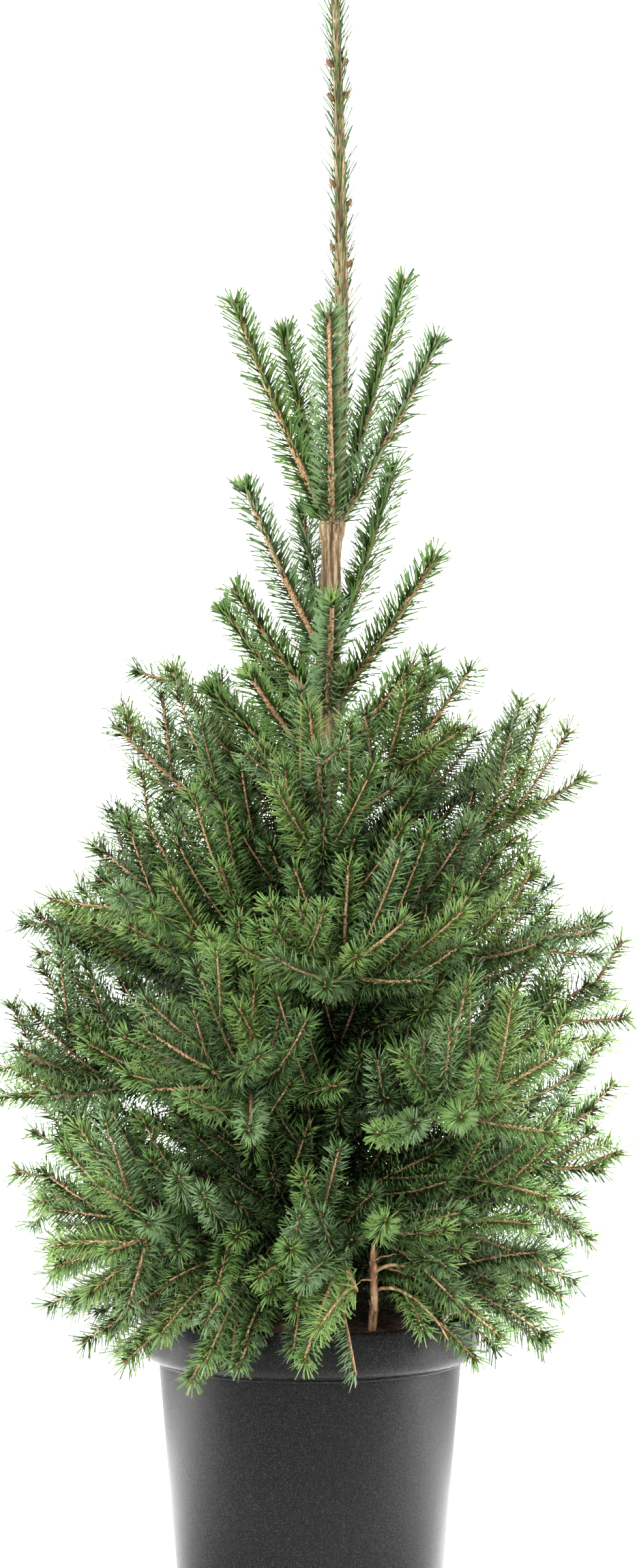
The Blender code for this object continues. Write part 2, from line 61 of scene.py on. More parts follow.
def along(rows, t):      # value at t in rows of (t, value)
    t = max(t, rows[0][0])
    for (t0, v0), (t1, v1) in zip(rows, rows[1:]):
        if t <= t1:
            return mix(v0, v1, (t - t0) / (t1 - t0))
    return rows[-1][1]


def heading(azimuth):
    angle = radians(azimuth)
    return Vector((cos(angle), sin(angle), 0))


def setMode(mode):
    bpy.ops.object.mode_set(mode=mode)


def deselect():
    bpy.ops.object.select_all(action="DESELECT")


def squareTo(side, ahead):
    return (side - ahead * side.dot(ahead)).normalized()


def offshoot(side, ahead, turn, angle):      # outward at a turn round the parent, and the way ahead
    over = side.cross(ahead).normalized()
    if over.z < 0:
        over.negate()
    outward = side * cos(turn) + over * sin(turn)
    return outward, (ahead * cos(angle) + outward * sin(angle)).normalized()


def bentLine(root, direction, lift, length, steps):
    return [root + (direction * s + lift * s * s) * length for s in (i / steps for i in range(steps + 1))]


# finishes: shader values that can be added and multiplied as plain numbers

class Value:
    def __init__(self, finish, socket):
        self.finish, self.socket = finish, socket

    def maths(self, operation, a, b):
        return self.finish.node("ShaderNodeMath", {0: a, 1: b}, operation=operation)

    def __add__(self, other):
        return self.maths("ADD", self, other)

    def __mul__(self, other):
        return self.maths("MULTIPLY", self, other)

    def __rsub__(self, other):
        return self.maths("SUBTRACT", other, self)


class Finish:
    def __init__(self, name, colour, roughness, specular=0.5):
        self.material = bpy.data.materials.new(name)
        self.material.use_nodes = True
        self.material.diffuse_color = (*colour, 1)
        self.nodes, self.links = self.material.node_tree.nodes, self.material.node_tree.links
        self.shader = self.nodes["Principled BSDF"].inputs
        self.shader["Base Color"].default_value = (*colour, 1)
        self.shader["Roughness"].default_value = roughness
        self.shader["Specular IOR Level"].default_value = specular

    def node(self, kind, sockets, out=0, stops=(), **settings):
        made = self.nodes.new(kind)
        for name, value in settings.items():
            setattr(made, name, value)
        if stops:
            ramp = made.color_ramp.elements
            while len(ramp) < len(stops):
                ramp.new(0.5)
            for stop, (place, colour) in zip(ramp, stops):
                stop.position, stop.color = place, (*colour, 1)
        for name, value in sockets.items():
            self.feed(made.inputs[name], value)
        return Value(self, made.outputs[out])

    def feed(self, target, value):
        if isinstance(value, Value):
            self.links.new(value.socket, target)
        else:
            target.default_value = value

    def cloud(self, size, stretch=(1, 1, 1), detail=3.0, rough=0.55):      # lumps of a real size
        spot = self.node("ShaderNodeTexCoord", {}, "Object")
        place = self.node("ShaderNodeMapping", {"Vector": spot, "Scale": stretch})
        return self.node("ShaderNodeTexNoise", {
            "Vector": place, "Scale": 1 / size, "Detail": detail, "Roughness": rough})

    def tint(self, factor, stops):
        return self.node("ShaderNodeValToRGB", {"Fac": factor}, stops=stops)

    def blend(self, factor, first, second):
        return self.node("ShaderNodeMix", {0: factor, 6: first, 7: second}, 2, data_type="RGBA")

    def bump(self, height, distance, strength=1.0):
        made = self.node("ShaderNodeBump", {"Height": height, "Distance": distance, "Strength": strength})
        self.feed(self.shader["Normal"], made)

    def colour(self, value):
        self.feed(self.shader["Base Color"], value)

    def roughness(self, value):
        self.feed(self.shader["Roughness"], value)

    def mottle(self, size, stops, bump=0, **cloud):      # coloured in lumps, and raised with them
        lumps = self.cloud(size, **cloud)
        self.colour(self.tint(lumps, stops))
        if bump:
            self.bump(lumps, bump)


# the growing rule: the same named sizes and the same draws as the solids

growth = {
    "trunkFoot": 0.2088, "trunkTop": 0.822, "footX": 0.003, "lean": 0.0235,
    "leaderTop": 1.262, "leaderBulge": 0.0066, "leaderEase": 0.75,
    "needleReach": 0.017, "tipRadius": 0.0016, "taper": 0.8, "tries": 6, "steps": 5,
    "twigFrom": 0.36, "twigTo": 0.88, "placeSway": 0.03, "pastBough": 0.1, "twigAngles": (40, 55),
    "turnSway": 20, "retryTurn": 25, "rollSway": 0.7,
    "lengthSway": (0.9, 1.1), "lengthShares": (1.15, 0.65), "retryShorter": 0.09,
    "forward": 0.12, "lift": 0.1, "droop": 0.3, "sameCorner": 0.0002,
    "spreadTurns": (15, 165, 85, -40, 220),
    "hangingTurns": (5, 175, -60, 235, 80, -30, 205),
    "crown": ((0.15, 0.17), (0.21, 0.2), (0.25, 0.228), (0.3, 0.245), (0.46, 0.25), (0.51, 0.238),
              (0.56, 0.19), (0.66, 0.155), (0.71, 0.13), (0.76, 0.09)),
}

# each kind of limb; a row is direction in degrees, height of the foot, reach and height of the tip
limbKinds = (
    {"node": "top_shoot_{}", "bow": -0.05, "radius": 0.0034, "rows": (
        (-160, 0.8, 0.086, 0.989), (128, 0.799, 0.066, 0.975), (-92, 0.798, 0.088, 0.973),
        (50, 0.8, 0.094, 1.018), (-14, 0.799, 0.09, 0.96))},
    {"node": "upper_shoot_{}", "bow": -0.06, "radius": 0.0036, "rows": (
        (-150, 0.698, 0.08, 0.847), (112, 0.7, 0.062, 0.839), (52, 0.697, 0.091, 0.873),
        (-22, 0.664, 0.097, 0.794), (-88, 0.66, 0.1, 0.755), (-172, 0.659, 0.08, 0.77),
        (155, 0.644, 0.098, 0.756))},
    {"node": "middle_shoot_{}", "bow": -0.06, "radius": 0.0036, "rows": (
        (-130, 0.612, 0.1, 0.701), (175, 0.6, 0.101, 0.692), (-46, 0.624, 0.103, 0.707),
        (12, 0.618, 0.099, 0.704), (80, 0.628, 0.104, 0.706))},
    {"node": "high_mass_{}", "bow": -0.08, "radius": 0.0044, "twigs": 4, "twig": 0.08, "rows": (
        (-28, 0.56, 0.12, 0.69), (172, 0.556, 0.128, 0.711), (108, 0.572, 0.112, 0.7),
        (-163, 0.528, 0.176, 0.663), (-3, 0.52, 0.213, 0.622), (55, 0.538, 0.176, 0.64),
        (128, 0.525, 0.168, 0.64), (-92, 0.545, 0.135, 0.64))},
    {"node": "broad_mass_{}", "bow": -0.06, "radius": 0.005, "twigs": 6, "twig": 0.105, "rows": (
        (-22, 0.462, 0.24, 0.512), (38, 0.444, 0.215, 0.55), (98, 0.464, 0.205, 0.505),
        (158, 0.446, 0.236, 0.51), (-138, 0.46, 0.212, 0.535), (-82, 0.442, 0.196, 0.49))},
    {"node": "main_{}_mass", "bow": -0.04, "radius": 0.005, "twigs": 7, "twig": 0.112, "bough": 0.28,
     "rows": (
        (10, 0.374, 0.24, 0.455), (68, 0.354, 0.232, 0.395), (128, 0.376, 0.225, 0.455),
        (-172, 0.356, 0.243, 0.405), (-112, 0.374, 0.218, 0.405), (-52, 0.352, 0.225, 0.385))},
    {"node": "low_{}_mass", "bow": 0.07, "radius": 0.005, "twigs": 7, "twig": 0.112, "bough": 0.28,
     "droop": 0.7, "rows": (
        (-16, 0.29, 0.238, 0.32), (43, 0.27, 0.224, 0.29), (102, 0.29, 0.212, 0.3),
        (164, 0.27, 0.238, 0.29), (-140, 0.288, 0.212, 0.262), (-80, 0.268, 0.186, 0.238))},
)


def trunkAxis(height):
    return Vector((growth["footX"] + growth["lean"] * (height - growth["trunkFoot"]), 0, height))


def leaderAxis(height):
    t = clamp((height - growth["trunkTop"]) / (growth["leaderTop"] - growth["trunkTop"]))
    swing = growth["leaderBulge"] * sin(pi * t ** growth["leaderEase"])
    return Vector((trunkAxis(growth["trunkTop"]).x + swing, 0, height))


class Limb:      # one limb from the trunk to its tip
    def __init__(self, kind, number, seed):
        azimuth, foot, reach, tipHeight = kind["rows"][number]
        self.node = kind["node"].format(number + 1)
        self.bow, self.radius = kind["bow"], kind["radius"]
        self.bough, self.droop = kind.get("bough", 0.0), kind.get("droop", 0.0)
        self.twigs, self.twig = kind.get("twigs", 0), kind.get("twig", 0.0)
        self.start = trunkAxis(foot)
        self.tip = self.start + heading(azimuth) * reach
        self.tip.z = tipHeight
        self.length = (self.tip - self.start).length
        self.side = upward.cross(heading(azimuth))
        self.rng = random.Random(seed)
        self.line = [self.at(t / 10) for t in range(2, 11)]

    def at(self, t):
        middle = (self.start + self.tip) / 2 + upward * self.bow * self.length
        return self.start * (1 - t) ** 2 + middle * 2 * t * (1 - t) + self.tip * t ** 2

    def ahead(self, t):
        return (self.at(t + 0.02) - self.at(t - 0.02)).normalized()

    def thickness(self, t):
        return mix(self.radius, growth["tipRadius"], t ** growth["taper"])


def drawnTwig(limb, number, attempt):      # axis of one side twig, with the same draws as in the solid
    rng, g = limb.rng, growth
    share = number / (limb.twigs - 1)
    t = mix(g["twigFrom"], g["twigTo"], share) + rng.uniform(-g["placeSway"], g["placeSway"])
    t = max(t, limb.bough + g["pastBough"])
    turns = g["hangingTurns"] if limb.droop else g["spreadTurns"]
    turn = turns[number % len(turns)] + rng.uniform(-g["turnSway"], g["turnSway"])
    turn = radians(turn + attempt * g["retryTurn"] * (-1) ** attempt)
    ahead, angle = limb.ahead(t), radians(rng.uniform(*g["twigAngles"]))
    direction = offshoot(limb.side, ahead, turn, angle)[1]
    length = limb.twig * rng.uniform(*g["lengthSway"]) * mix(*g["lengthShares"], share)
    length = length * (1 - g["retryShorter"] * attempt) - g["needleReach"]
    lift = ahead * g["forward"] + upward * (g["lift"] - g["droop"] * limb.droop)
    rng.uniform(-g["rollSway"], g["rollSway"])      # the roll of the solid's flat spray
    return bentLine(limb.at(t), direction, lift, length, g["steps"])


def keptTwigs(limb):      # the side twigs that the solid has: its needle tips are looked up in the node
    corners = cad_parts[limb.node].data.vertices
    tree = kdtree.KDTree(len(corners))
    for corner in corners:
        tree.insert(corner.co, corner.index)
    tree.balance()
    kept = []
    for number in range(limb.twigs):
        for attempt in range(growth["tries"]):
            axis = drawnTwig(limb, number, attempt)
            tip = axis[-1] + (axis[-1] - axis[-2]).normalized() * growth["needleReach"]
            if tree.find(tip)[2] < growth["sameCorner"]:
                kept.append(axis)
                break
    return kept


limbs = []
for kind in limbKinds:
    for number in range(len(kind["rows"])):
        limbs.append(Limb(kind, number, len(limbs) + 11))


# finer shoots: each has a line of points, a radius at both ends, an order and the limb it belongs to

fineGrowth = {
    "steps": (0.0165, 0.02, 0.026),      # between shoots on a parent, by the parent's order
    "stepSway": (0.7, 1.3), "sparse": 1.5,
    "first": (0.12, 0.16, 0.16),
    "bareTip": (0.066, 0.048, 0.036),      # the last year's growth, which has no side shoots
    "angles": ((42, 58), (36, 52), (32, 46)),
    "fork": (10, 170, 90), "forkSway": 25, "turnSway": 32,
    "lowBelow": 0.285, "downShares": (0.35, 0.68), "downSway": 45,      # lower shoots turn down more often
    "longest": (0.13, 0.11, 0.08), "shortest": 0.05,
    "tipLength": 0.03, "lengthShare": 0.85, "lengthSway": (0.82, 1.12),
    "tries": 3, "retryTurn": 40, "retryLength": 0.84,
    "stemRadii": (0.0034, 0.0014), "singleRadii": (0.003, 0.0019), "twigRadii": (0.0017, 0.001),
    "innerRadii": (0.0015, 0.0009), "thinner": 0.85, "thinFoot": 0.0008, "thinSlope": 0.009,
    "thinTip": 0.00085,
    "stemShares": (0.02, 0.015), "stemPoints": 12, "points": 7, "middle": 4, "middleShare": 0.6,
    "apart": 0.0179,      # between the middles and the tips of any two shoots
    "forward": 0.12, "sway": 0.06, "riseSway": 0.2,
    "rise": ((0.21, -0.55), (0.25, -0.3), (0.29, 0.14), (0.36, 0.28), (0.46, 0.34), (0.6, 0.36)),
    "climb": ((0.24, -0.1), (0.29, 0.6), (0.36, 1.2), (0.46, 1.7), (0.6, 2.0)),
    "pull": 0.32,      # towards the light
    "outerMost": (1.0, 1.04, 0.99, 0.86),   # of the crown's reach, by order, so that single shoots stand out
    "outerSway": 0.13, "needleRoom": 0.012, "spaceSlack": 0.03, "lowest": 0.16,
    "deadStem": (0.046, -0.098), "deadBehind": 0.006, "deadClear": 0.011, "deadTop": 0.272,
    "potClear": 0.137, "potTop": 0.212,
    "trunkClear": 0.016, "trunkSeen": 0.575, "trunkWindow": 0.011, "trunkBehind": 0.01,
}
shoots = []


class Crowd:      # tells whether a place is free of other shoots, by cells as wide as the least distance
    def __init__(self, apart):
        self.apart, self.cells = apart, {}

    def cell(self, point):
        return tuple(int(c // self.apart) for c in point)

    def add(self, point):
        self.cells.setdefault(self.cell(point), []).append(point)

    def free(self, point):
        x, y, z = self.cell(point)
        around = [(x + i, y + j, z + k) for i in (-1, 0, 1) for j in (-1, 0, 1) for k in (-1, 0, 1)]
        near = (place for cell in around for place in self.cells.get(cell, ()))
        return all((place - point).length > self.apart for place in near)


crowd = Crowd(fineGrowth["apart"])


class Shoot:
    def __init__(self, points, radii, order, limb, side):
        self.points, self.radii, self.order, self.limb, self.side = points, radii, order, limb, side
        self.length = sum((b - a).length for a, b in zip(points, points[1:]))

    def at(self, share):
        place = clamp(share) * (len(self.points) - 1)
        i = min(int(place), len(self.points) - 2)
        return self.points[i].lerp(self.points[i + 1], place - i)

    def ahead(self, share):
        return (self.at(share + 0.08) - self.at(share - 0.08)).normalized()


def keep(shoot):
    shoots.append(shoot)
    crowd.add(shoot.at(fineGrowth["middleShare"]))
    crowd.add(shoot.points[-1])
    return shoot


def crownShare(point):      # 1 on the crown's outer face
    return hypot(point.x, point.y) / along(growth["crown"], point.z)


def nearest(line, point):
    return min((point - place).length_squared for place in line) ** 0.5


def hidesDeadStem(x, y, z):      # for numbers or arrays
    g = fineGrowth
    stemX, stemY = g["deadStem"]
    return (z < g["deadTop"]) & (y < stemY + g["deadBehind"]) & (abs(x - stemX) < g["deadClear"])


def inPot(point):
    return point.z < fineGrowth["potTop"] and hypot(point.x, point.y) < fineGrowth["potClear"]


def hidesTrunk(point):      # high up the trunk stays in view
    g = fineGrowth
    aside = abs(point.x - trunkAxis(point.z).x)
    return point.z > g["trunkSeen"] and point.y < g["trunkBehind"] and aside < g["trunkWindow"]


def hasRoom(limb, points, reach):      # a finer shoot stays in its mass's space and off trunk and pot
    g = fineGrowth
    tip = points[-1] + (points[-1] - points[-2]).normalized() * g["needleRoom"]
    if crownShare(tip) > reach * max(1, crownShare(limb.tip)) or tip.z < g["lowest"]:
        return False
    own = nearest(limb.line, tip)
    if any(nearest(other.line, tip) + g["spaceSlack"] < own for other in limbs if other is not limb):
        return False
    for point in points[1:] + [tip]:
        if inPot(point) or hidesTrunk(point) or hidesDeadStem(*point):
            return False
        if point.z < growth["trunkTop"] and (point - trunkAxis(point.z)).length < g["trunkClear"]:
            return False
    return crowd.free(points[g["middle"]]) and crowd.free(points[-1])


def grownLine(root, direction, length, rng, rise=None):      # bent up or, low down, hanging
    g = fineGrowth
    if rise is None:
        rise = along(g["rise"], root.z) + rng.uniform(-1, 1) * g["riseSway"]
    lift = direction * g["forward"] + upward * rise + Vector(rng.uniform(-1, 1) for _ in "xyz") * g["sway"]
    return bentLine(root, direction, lift, length, g["points"] - 1)


def lightward(point):      # out from the trunk, and more steeply up the higher it is
    out = Vector((point.x - trunkAxis(point.z).x, point.y, 0)).normalized()
    return (out + upward * along(fineGrowth["climb"], point.z)).normalized()


def branch(parent, share, turn, angle, length, reach, rng):
    g, root, ahead = fineGrowth, parent.at(share), parent.ahead(share)
    outward, direction = offshoot(squareTo(parent.side, ahead), ahead, radians(turn), radians(angle))
    direction = direction.lerp(lightward(root), g["pull"]).normalized()
    points = grownLine(root, direction, length, rng)
    if not hasRoom(parent.limb, points, reach):
        return None
    foot = min(mix(*parent.radii, share) * g["thinner"], g["thinFoot"] + length * g["thinSlope"])
    side = direction.cross(outward).cross(direction).normalized()
    return keep(Shoot(points, (foot, g["thinTip"]), parent.order + 1, parent.limb, side))


def sideShoot(parent, place, turn, rng):      # shorter and turned on at each try
    g, order = fineGrowth, parent.order
    length = g["tipLength"] + g["lengthShare"] * (parent.length - place)
    length = min(g["longest"][order], length) * rng.uniform(*g["lengthSway"])
    reach = g["outerMost"][order + 1] - rng.uniform(0, g["outerSway"])
    for attempt in range(g["tries"]):
        if length < g["shortest"]:
            break
        angle = rng.uniform(*g["angles"][order])
        if branch(parent, place / parent.length, turn + g["retryTurn"] * attempt, angle, length, reach, rng):
            break
        length *= g["retryLength"]


def branchOut(parent, rng):      # left and right in turn, some up or down, and a fork at the end
    g, order = fineGrowth, parent.order
    place = g["first"][order] * parent.length + rng.uniform(0, 0.5) * g["steps"][order]
    last, number = parent.length - g["bareTip"][order], rng.randrange(2)
    sparse = g["sparse"] if parent.limb.node.startswith("high") else 1
    if last > place:
        for turn in g["fork"][:3 - order]:
            sideShoot(parent, last, turn + rng.uniform(-g["forkSway"], g["forkSway"]), rng)
    while place < last:
        low = parent.at(place / parent.length).z < g["lowBelow"]
        turn = (0, 180)[number % 2] + rng.uniform(-g["turnSway"], g["turnSway"])
        if number % (2 if low else 3) == 1:
            down = rng.random() < g["downShares"][low]
            turn = (90, -90)[down] + rng.uniform(-g["downSway"], g["downSway"])
        sideShoot(parent, place, turn, rng)
        place += g["steps"][order] * rng.uniform(*g["stepSway"]) * sparse
        number += 1


# shoots from the trunk: two low rings hang over the rim, and others close the crown's middle

hangingRings = (
    {"from": 0.228, "to": 0.262, "number": 150, "length": (0.155, 0.2), "climb": (12, 22),
     "rise": (-0.8, -0.5), "reach": 1.04},
    {"from": 0.224, "to": 0.25, "number": 120, "length": (0.105, 0.15), "climb": (7, 20),
     "rise": (-0.55, -0.2), "reach": 0.95},
)
crownFill = {"from": 0.25, "to": 0.52, "number": 150, "length": (0.07, 0.14), "climb": (5, 52),
             "rise": (-0.1, 0.4), "reach": 0.95}
trunkShoots = {"turn": 137.5, "sway": 12, "start": 0.006}


def growInner(ring, rng):
    g, sway = fineGrowth, trunkShoots["sway"]
    for number in range(ring["number"]):
        foot = trunkAxis(mix(ring["from"], ring["to"], number / (ring["number"] - 1)))
        way = heading(number * trunkShoots["turn"] + rng.uniform(-sway, sway))
        climb = radians(rng.uniform(*ring["climb"]))
        direction, length = way * cos(climb) + upward * sin(climb), rng.uniform(*ring["length"])
        foot += way * trunkShoots["start"]
        points = grownLine(foot, direction, length, rng, rng.uniform(*ring["rise"]))
        tip = points[-1]
        if crownShare(tip) > ring["reach"] or any(inPot(point) or hidesDeadStem(*point) for point in points):
            continue
        if crowd.free(points[g["middle"]]) and crowd.free(tip):
            limb = min((limb for limb in limbs if limb.twigs), key=lambda other: nearest(other.line, tip))
            keep(Shoot(points, g["innerRadii"], 1, limb, upward.cross(way).normalized()))


def growShoots():      # the solids' own stems and twigs first, then finer ones order by order
    g, rng = fineGrowth, random.Random(300)
    for limb in limbs:
        first, end = g["stemShares"]
        stop, steps = 1 - end / limb.length, g["stemPoints"] - 1
        points = [limb.at(mix(first, stop, i / steps)) for i in range(steps + 1)]
        keep(Shoot(points, g["stemRadii" if limb.twigs else "singleRadii"], 0, limb, limb.side))
        for axis in keptTwigs(limb):
            if not any(hidesDeadStem(*point) for point in axis):
                ahead = (axis[-1] - axis[0]).normalized()
                keep(Shoot(axis, g["twigRadii"], 1, limb, squareTo(limb.side, ahead)))
    for ring in hangingRings:
        growInner(ring, rng)
    for order in range(3):
        for shoot in [shoot for shoot in shoots if shoot.order == order and shoot.limb.twigs]:
            branchOut(shoot, rng)
        if order == 0:
            growInner(crownFill, rng)


growShoots()
print("shoots:", len(shoots), "metres:", round(sum(s.length for s in shoots), 1),
      "by order:", [sum(s.order == k for s in shoots) for k in range(4)])


# joined meshes from arrays

def joinedMesh(name, corners, faces, finish, smooth=True):
    mesh = bpy.data.meshes.new(name)
    mesh.from_pydata(corners, [], faces)
    mesh.materials.append(finish.material)
    mesh.polygons.foreach_set("use_smooth", [smooth] * len(mesh.polygons))
    made = bpy.data.objects.new(name, mesh)
    bpy.context.scene.collection.objects.link(made)
    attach(made, "root")
    return made


def unit(rows):
    return rows / np.linalg.norm(rows, axis=-1, keepdims=True)


def tubes(lines, radii, sides):      # closed tapering tubes: lines (count, points, 3), radii (count, points)
    count, steps = lines.shape[:2]
    ahead = unit(np.gradient(lines, axis=1))
    guide = np.where(np.abs(ahead[:, :1, 2:3]) < 0.8, (0.0, 0.0, 1.0), (1.0, 0.0, 0.0))
    side = unit(np.cross(ahead, np.broadcast_to(guide, ahead.shape)))
    over = np.cross(ahead, side)
    turn = np.arange(sides) * 2 * pi / sides
    rings = lines[:, :, None] + radii[:, :, None, None] * (
        side[:, :, None] * np.cos(turn)[:, None] + over[:, :, None] * np.sin(turn)[:, None])
    size, k = steps * sides, np.arange(sides)
    after, row = (k + 1) % sides, np.arange(steps - 1)[:, None] * sides
    quads = np.stack([row + k, row + after, row + sides + after, row + sides + k], axis=-1).reshape(-1, 4)
    tube = np.arange(count)[:, None] * size
    walls = (quads[None] + tube[:, None]).reshape(-1, 4).tolist()
    return rings.reshape(-1, 3), walls + (tube + k[::-1]).tolist() + (tube + size - sides + k).tolist()


def tubeMesh(name, lines, radii, sides, finish):
    return joinedMesh(name, *tubes(np.array(lines), np.array(radii), sides), finish)


def needleBodies(roots, aheads, sides, lengths, widths, bows, taper):      # four faces: two edges laid across
    over, slant = np.cross(aheads, sides), 8 ** 0.5
    wide = (sides + over) * (widths / slant)[:, None]
    across = (sides - over) * (widths * taper / slant)[:, None]
    tips = roots + aheads * lengths[:, None] + bows
    corners = np.stack([roots - wide, roots + wide, tips - across, tips + across], axis=1).reshape(-1, 3)
    one = np.array([(0, 2, 1), (0, 1, 3), (2, 0, 3), (2, 3, 1)])
    return corners, (one[None] + np.arange(len(roots))[:, None, None] * 4).reshape(-1, 3)


# needles: dealt to a green by spray, then joined by green

goldenTurn = 2.39996      # from one needle to the next round the shoot
needleLook = {
    "perMetre": (1900, 1720, 1720, 1680),      # by the shoot's order, as the next row is
    "lengthShares": (1.0, 1.0, 0.96, 0.88),
    "length": (0.014, 0.0175), "footShorter": 0.2, "footShare": 0.2, "tipShorter": 0.14, "bow": 0.06,
    "width": 0.00145, "widthSway": (0.85, 1.15), "taper": 0.66,
    "lean": ((0.0, 68), (0.6, 64), (1.0, 53)), "leanSway": 6,
    "parting": 24, "partingSway": 14, "bareFoot": (0.05, 0.003), "outerRise": 0.7, "rootDepth": 0.5,
    "single": {"perMetre": 2600, "width": 1.3, "longer": 1.18, "parting": 36,      # the upper whorls' shoots
               "lean": ((0.0, 54), (0.6, 57), (1.0, 45)), "leanSway": 9},
    "star": {"needles": 13, "length": (0.0125, 0.016), "spread": (8, 58), "depth": 0.01, "pale": 1.0},
    "tuft": {"needles": 64, "length": (0.009, 0.0135), "spread": (3, 46), "depth": 0.004, "pale": 0.5},
    "tuftShare": 0.55,
    "shadeShares": ((0, 0.7), (0.7, 0.84), (0.84, 1.0)),
    "potTop": 0.209, "potClear": 0.1335, "lowest": 0.15,
    "specular": 0.38, "lumps": 0.02, "lumpShine": 0.12, "shine": 0.06, "pieceNeedles": 45000,
}
greens = {
    # deep is painted shade of the crown's inside; dark is painted shade in the crown and also the leader's
    # own darker green
    "deep": ((0.018, 0.041, 0.007), 0.44),
    "dark": ((0.04, 0.09, 0.016), 0.42),
    "green": ((0.104, 0.208, 0.043), 0.4),
    "blue": ((0.15, 0.248, 0.106), 0.4),
    "olive": ((0.152, 0.24, 0.05), 0.42),
    "fresh": ((0.215, 0.345, 0.074), 0.44),
}
# The darker and lighter needles of each spray are painted shade and painted highlight, in place of the glints
# on waxy needles turned different ways.
sideShades = {      # a few needles of each spray are a shade darker or lighter
    "deep": ("deep", "dark"), "dark": ("deep", "green"), "green": ("dark", "olive"),
    "blue": ("dark", "green"), "olive": ("green", "fresh"), "fresh": ("green", "olive"),
}
heaps = {name: [] for name in greens}


def lineArrays(shoot, shares):      # places on the axis, the way ahead, the outer side and the third way
    points = np.array([tuple(p) for p in shoot.points])
    steps = np.linspace(0, 1, len(points))
    place, ahead = (np.stack([np.interp(shares, steps, rows[:, c]) for c in range(3)], axis=1)
                    for rows in (points, np.gradient(points, axis=0)))
    ahead = unit(ahead)
    out = place[:, :2] / (np.linalg.norm(place[:, :2], axis=1, keepdims=True) + tiny)
    over = np.concatenate([out, np.full((len(shares), 1), needleLook["outerRise"])], axis=1)
    over = unit(over - ahead * np.sum(over * ahead, axis=1, keepdims=True))
    return place, ahead, over, np.cross(ahead, over)


def spray(shoot, shares, turns, leans, lengths, green, parting=0, stout=1.0):      # turns from the outer side
    look, rng = needleLook, np.random.default_rng(len(shares))
    place, ahead, over, side = lineArrays(shoot, shares)
    turns = (turns + pi) % (2 * pi) - pi
    if parting:
        gap = radians(parting)
        turns = np.sign(turns) * (gap + (pi - gap) * np.abs(turns) / pi)
        turns += np.radians(rng.normal(0, look["partingSway"], len(turns)))
    outward = over * np.cos(turns)[:, None] + side * np.sin(turns)[:, None]
    direction = ahead * np.cos(leans)[:, None] + outward * np.sin(leans)[:, None]
    bows = ahead * (lengths * look["bow"])[:, None]
    roots = place + outward * (np.interp(shares, [0, 1], shoot.radii) * look["rootDepth"])[:, None]
    tips = roots + direction * lengths[:, None] + bows
    sunk = (tips[:, 2] < look["potTop"]) & (np.hypot(tips[:, 0], tips[:, 1]) < look["potClear"])
    free = ~sunk & (tips[:, 2] > look["lowest"]) & ~hidesDeadStem(*tips.T)
    widths = look["width"] * stout * rng.uniform(*look["widthSway"], len(shares))
    shades, node = rng.random(len(shares)), shoot.limb.node if shoot.limb else "leader"
    # some needles of the spray go to a darker or lighter green: painted shade and painted highlight
    for shade, (low, high) in zip((green, *sideShades[green]), look["shadeShares"]):
        chosen = free & (shades >= low) & (shades < high)
        parts = (roots, direction, unit(np.cross(direction, outward)), lengths, widths, bows)
        heaps[shade].append((node, [part[chosen] for part in parts]))


def dress(shoot, green, rng):      # needles all along it, then a star or a full tuft at its tip
    look, length = needleLook, shoot.length
    single = None if shoot.limb.twigs else look["single"]
    # the star's lighter green is partly the fresh growth at the tip and partly painted light that lifts the
    # shade of the dense star
    habit, tip, tipGreen = look, look["star"], lighter.get(green, green)
    if single:
        habit = single
        if rng.random() < look["tuftShare"]:
            tip, tipGreen = look["tuft"], "fresh"
    count = int(length * (single["perMetre"] if single else look["perMetre"][shoot.order]))
    stout = single["width"] if single else 1.0
    first = look["bareFoot"][0] if shoot.order == 0 else look["bareFoot"][1] / length
    shares = first + (1 - first) * (np.arange(count) + rng.uniform(0, 1, count)) / count
    turns = np.arange(count) * goldenTurn + rng.uniform(0, fullTurn)
    rows = np.array(habit["lean"])
    leans = np.radians(np.interp(shares, rows[:, 0], rows[:, 1]) + rng.normal(0, habit["leanSway"], count))
    lengths = rng.uniform(*look["length"], count)
    lengths *= 1 - look["footShorter"] * (1 - np.clip(shares / look["footShare"], 0, 1))
    lengths *= (1 - look["tipShorter"] * np.clip(shares * 2 - 1, 0, 1)) * look["lengthShares"][shoot.order]
    lengths *= single["longer"] if single else 1.0
    spray(shoot, shares, turns, leans, lengths, green, habit["parting"], stout)
    count, (tight, wide) = tip["needles"], tip["spread"]
    leans = np.radians(tight + (wide - tight) * np.sqrt((np.arange(count) + 0.5) / count))
    shares = 1 - rng.uniform(0, tip["depth"] / length, count)
    lengths, turns = rng.uniform(*tip["length"], count), np.arange(count) * goldenTurn
    inner = int(count * tip["pale"])
    for part, tone in ((slice(0, inner), tipGreen), (slice(inner, None), "dark")):
        if len(leans[part]):
            spray(shoot, shares[part], turns[part], leans[part], lengths[part], tone, 0, stout)


# The deep and dark greens dealt to the inner shoots are painted shade of the crown's inside, and the high
# outer shoots are dealt no dark green, which paints the top lighter.
greenDeal = {      # the greens that a spray is dealt from, by how far out it is
    "place": 0.7, "sway": 0.08, "highFrom": 0.58, "highOut": 0.25, "deepTo": 0.36, "darkTo": 0.58,
    "single": ("green", "green", "green", "blue"),
    "high": ("green", "blue", "olive", "blue"),
    "deep": ("deep",),
    "dark": ("dark", "deep", "dark", "green"),
    "outer": ("green", "blue", "green", "blue", "dark", "olive"),
}
# The tip stars take a lighter green: partly the fresh growth at the tips, partly painted light that lifts the
# shade of the dense stars.
lighter = {"deep": "dark", "dark": "green", "green": "olive"}


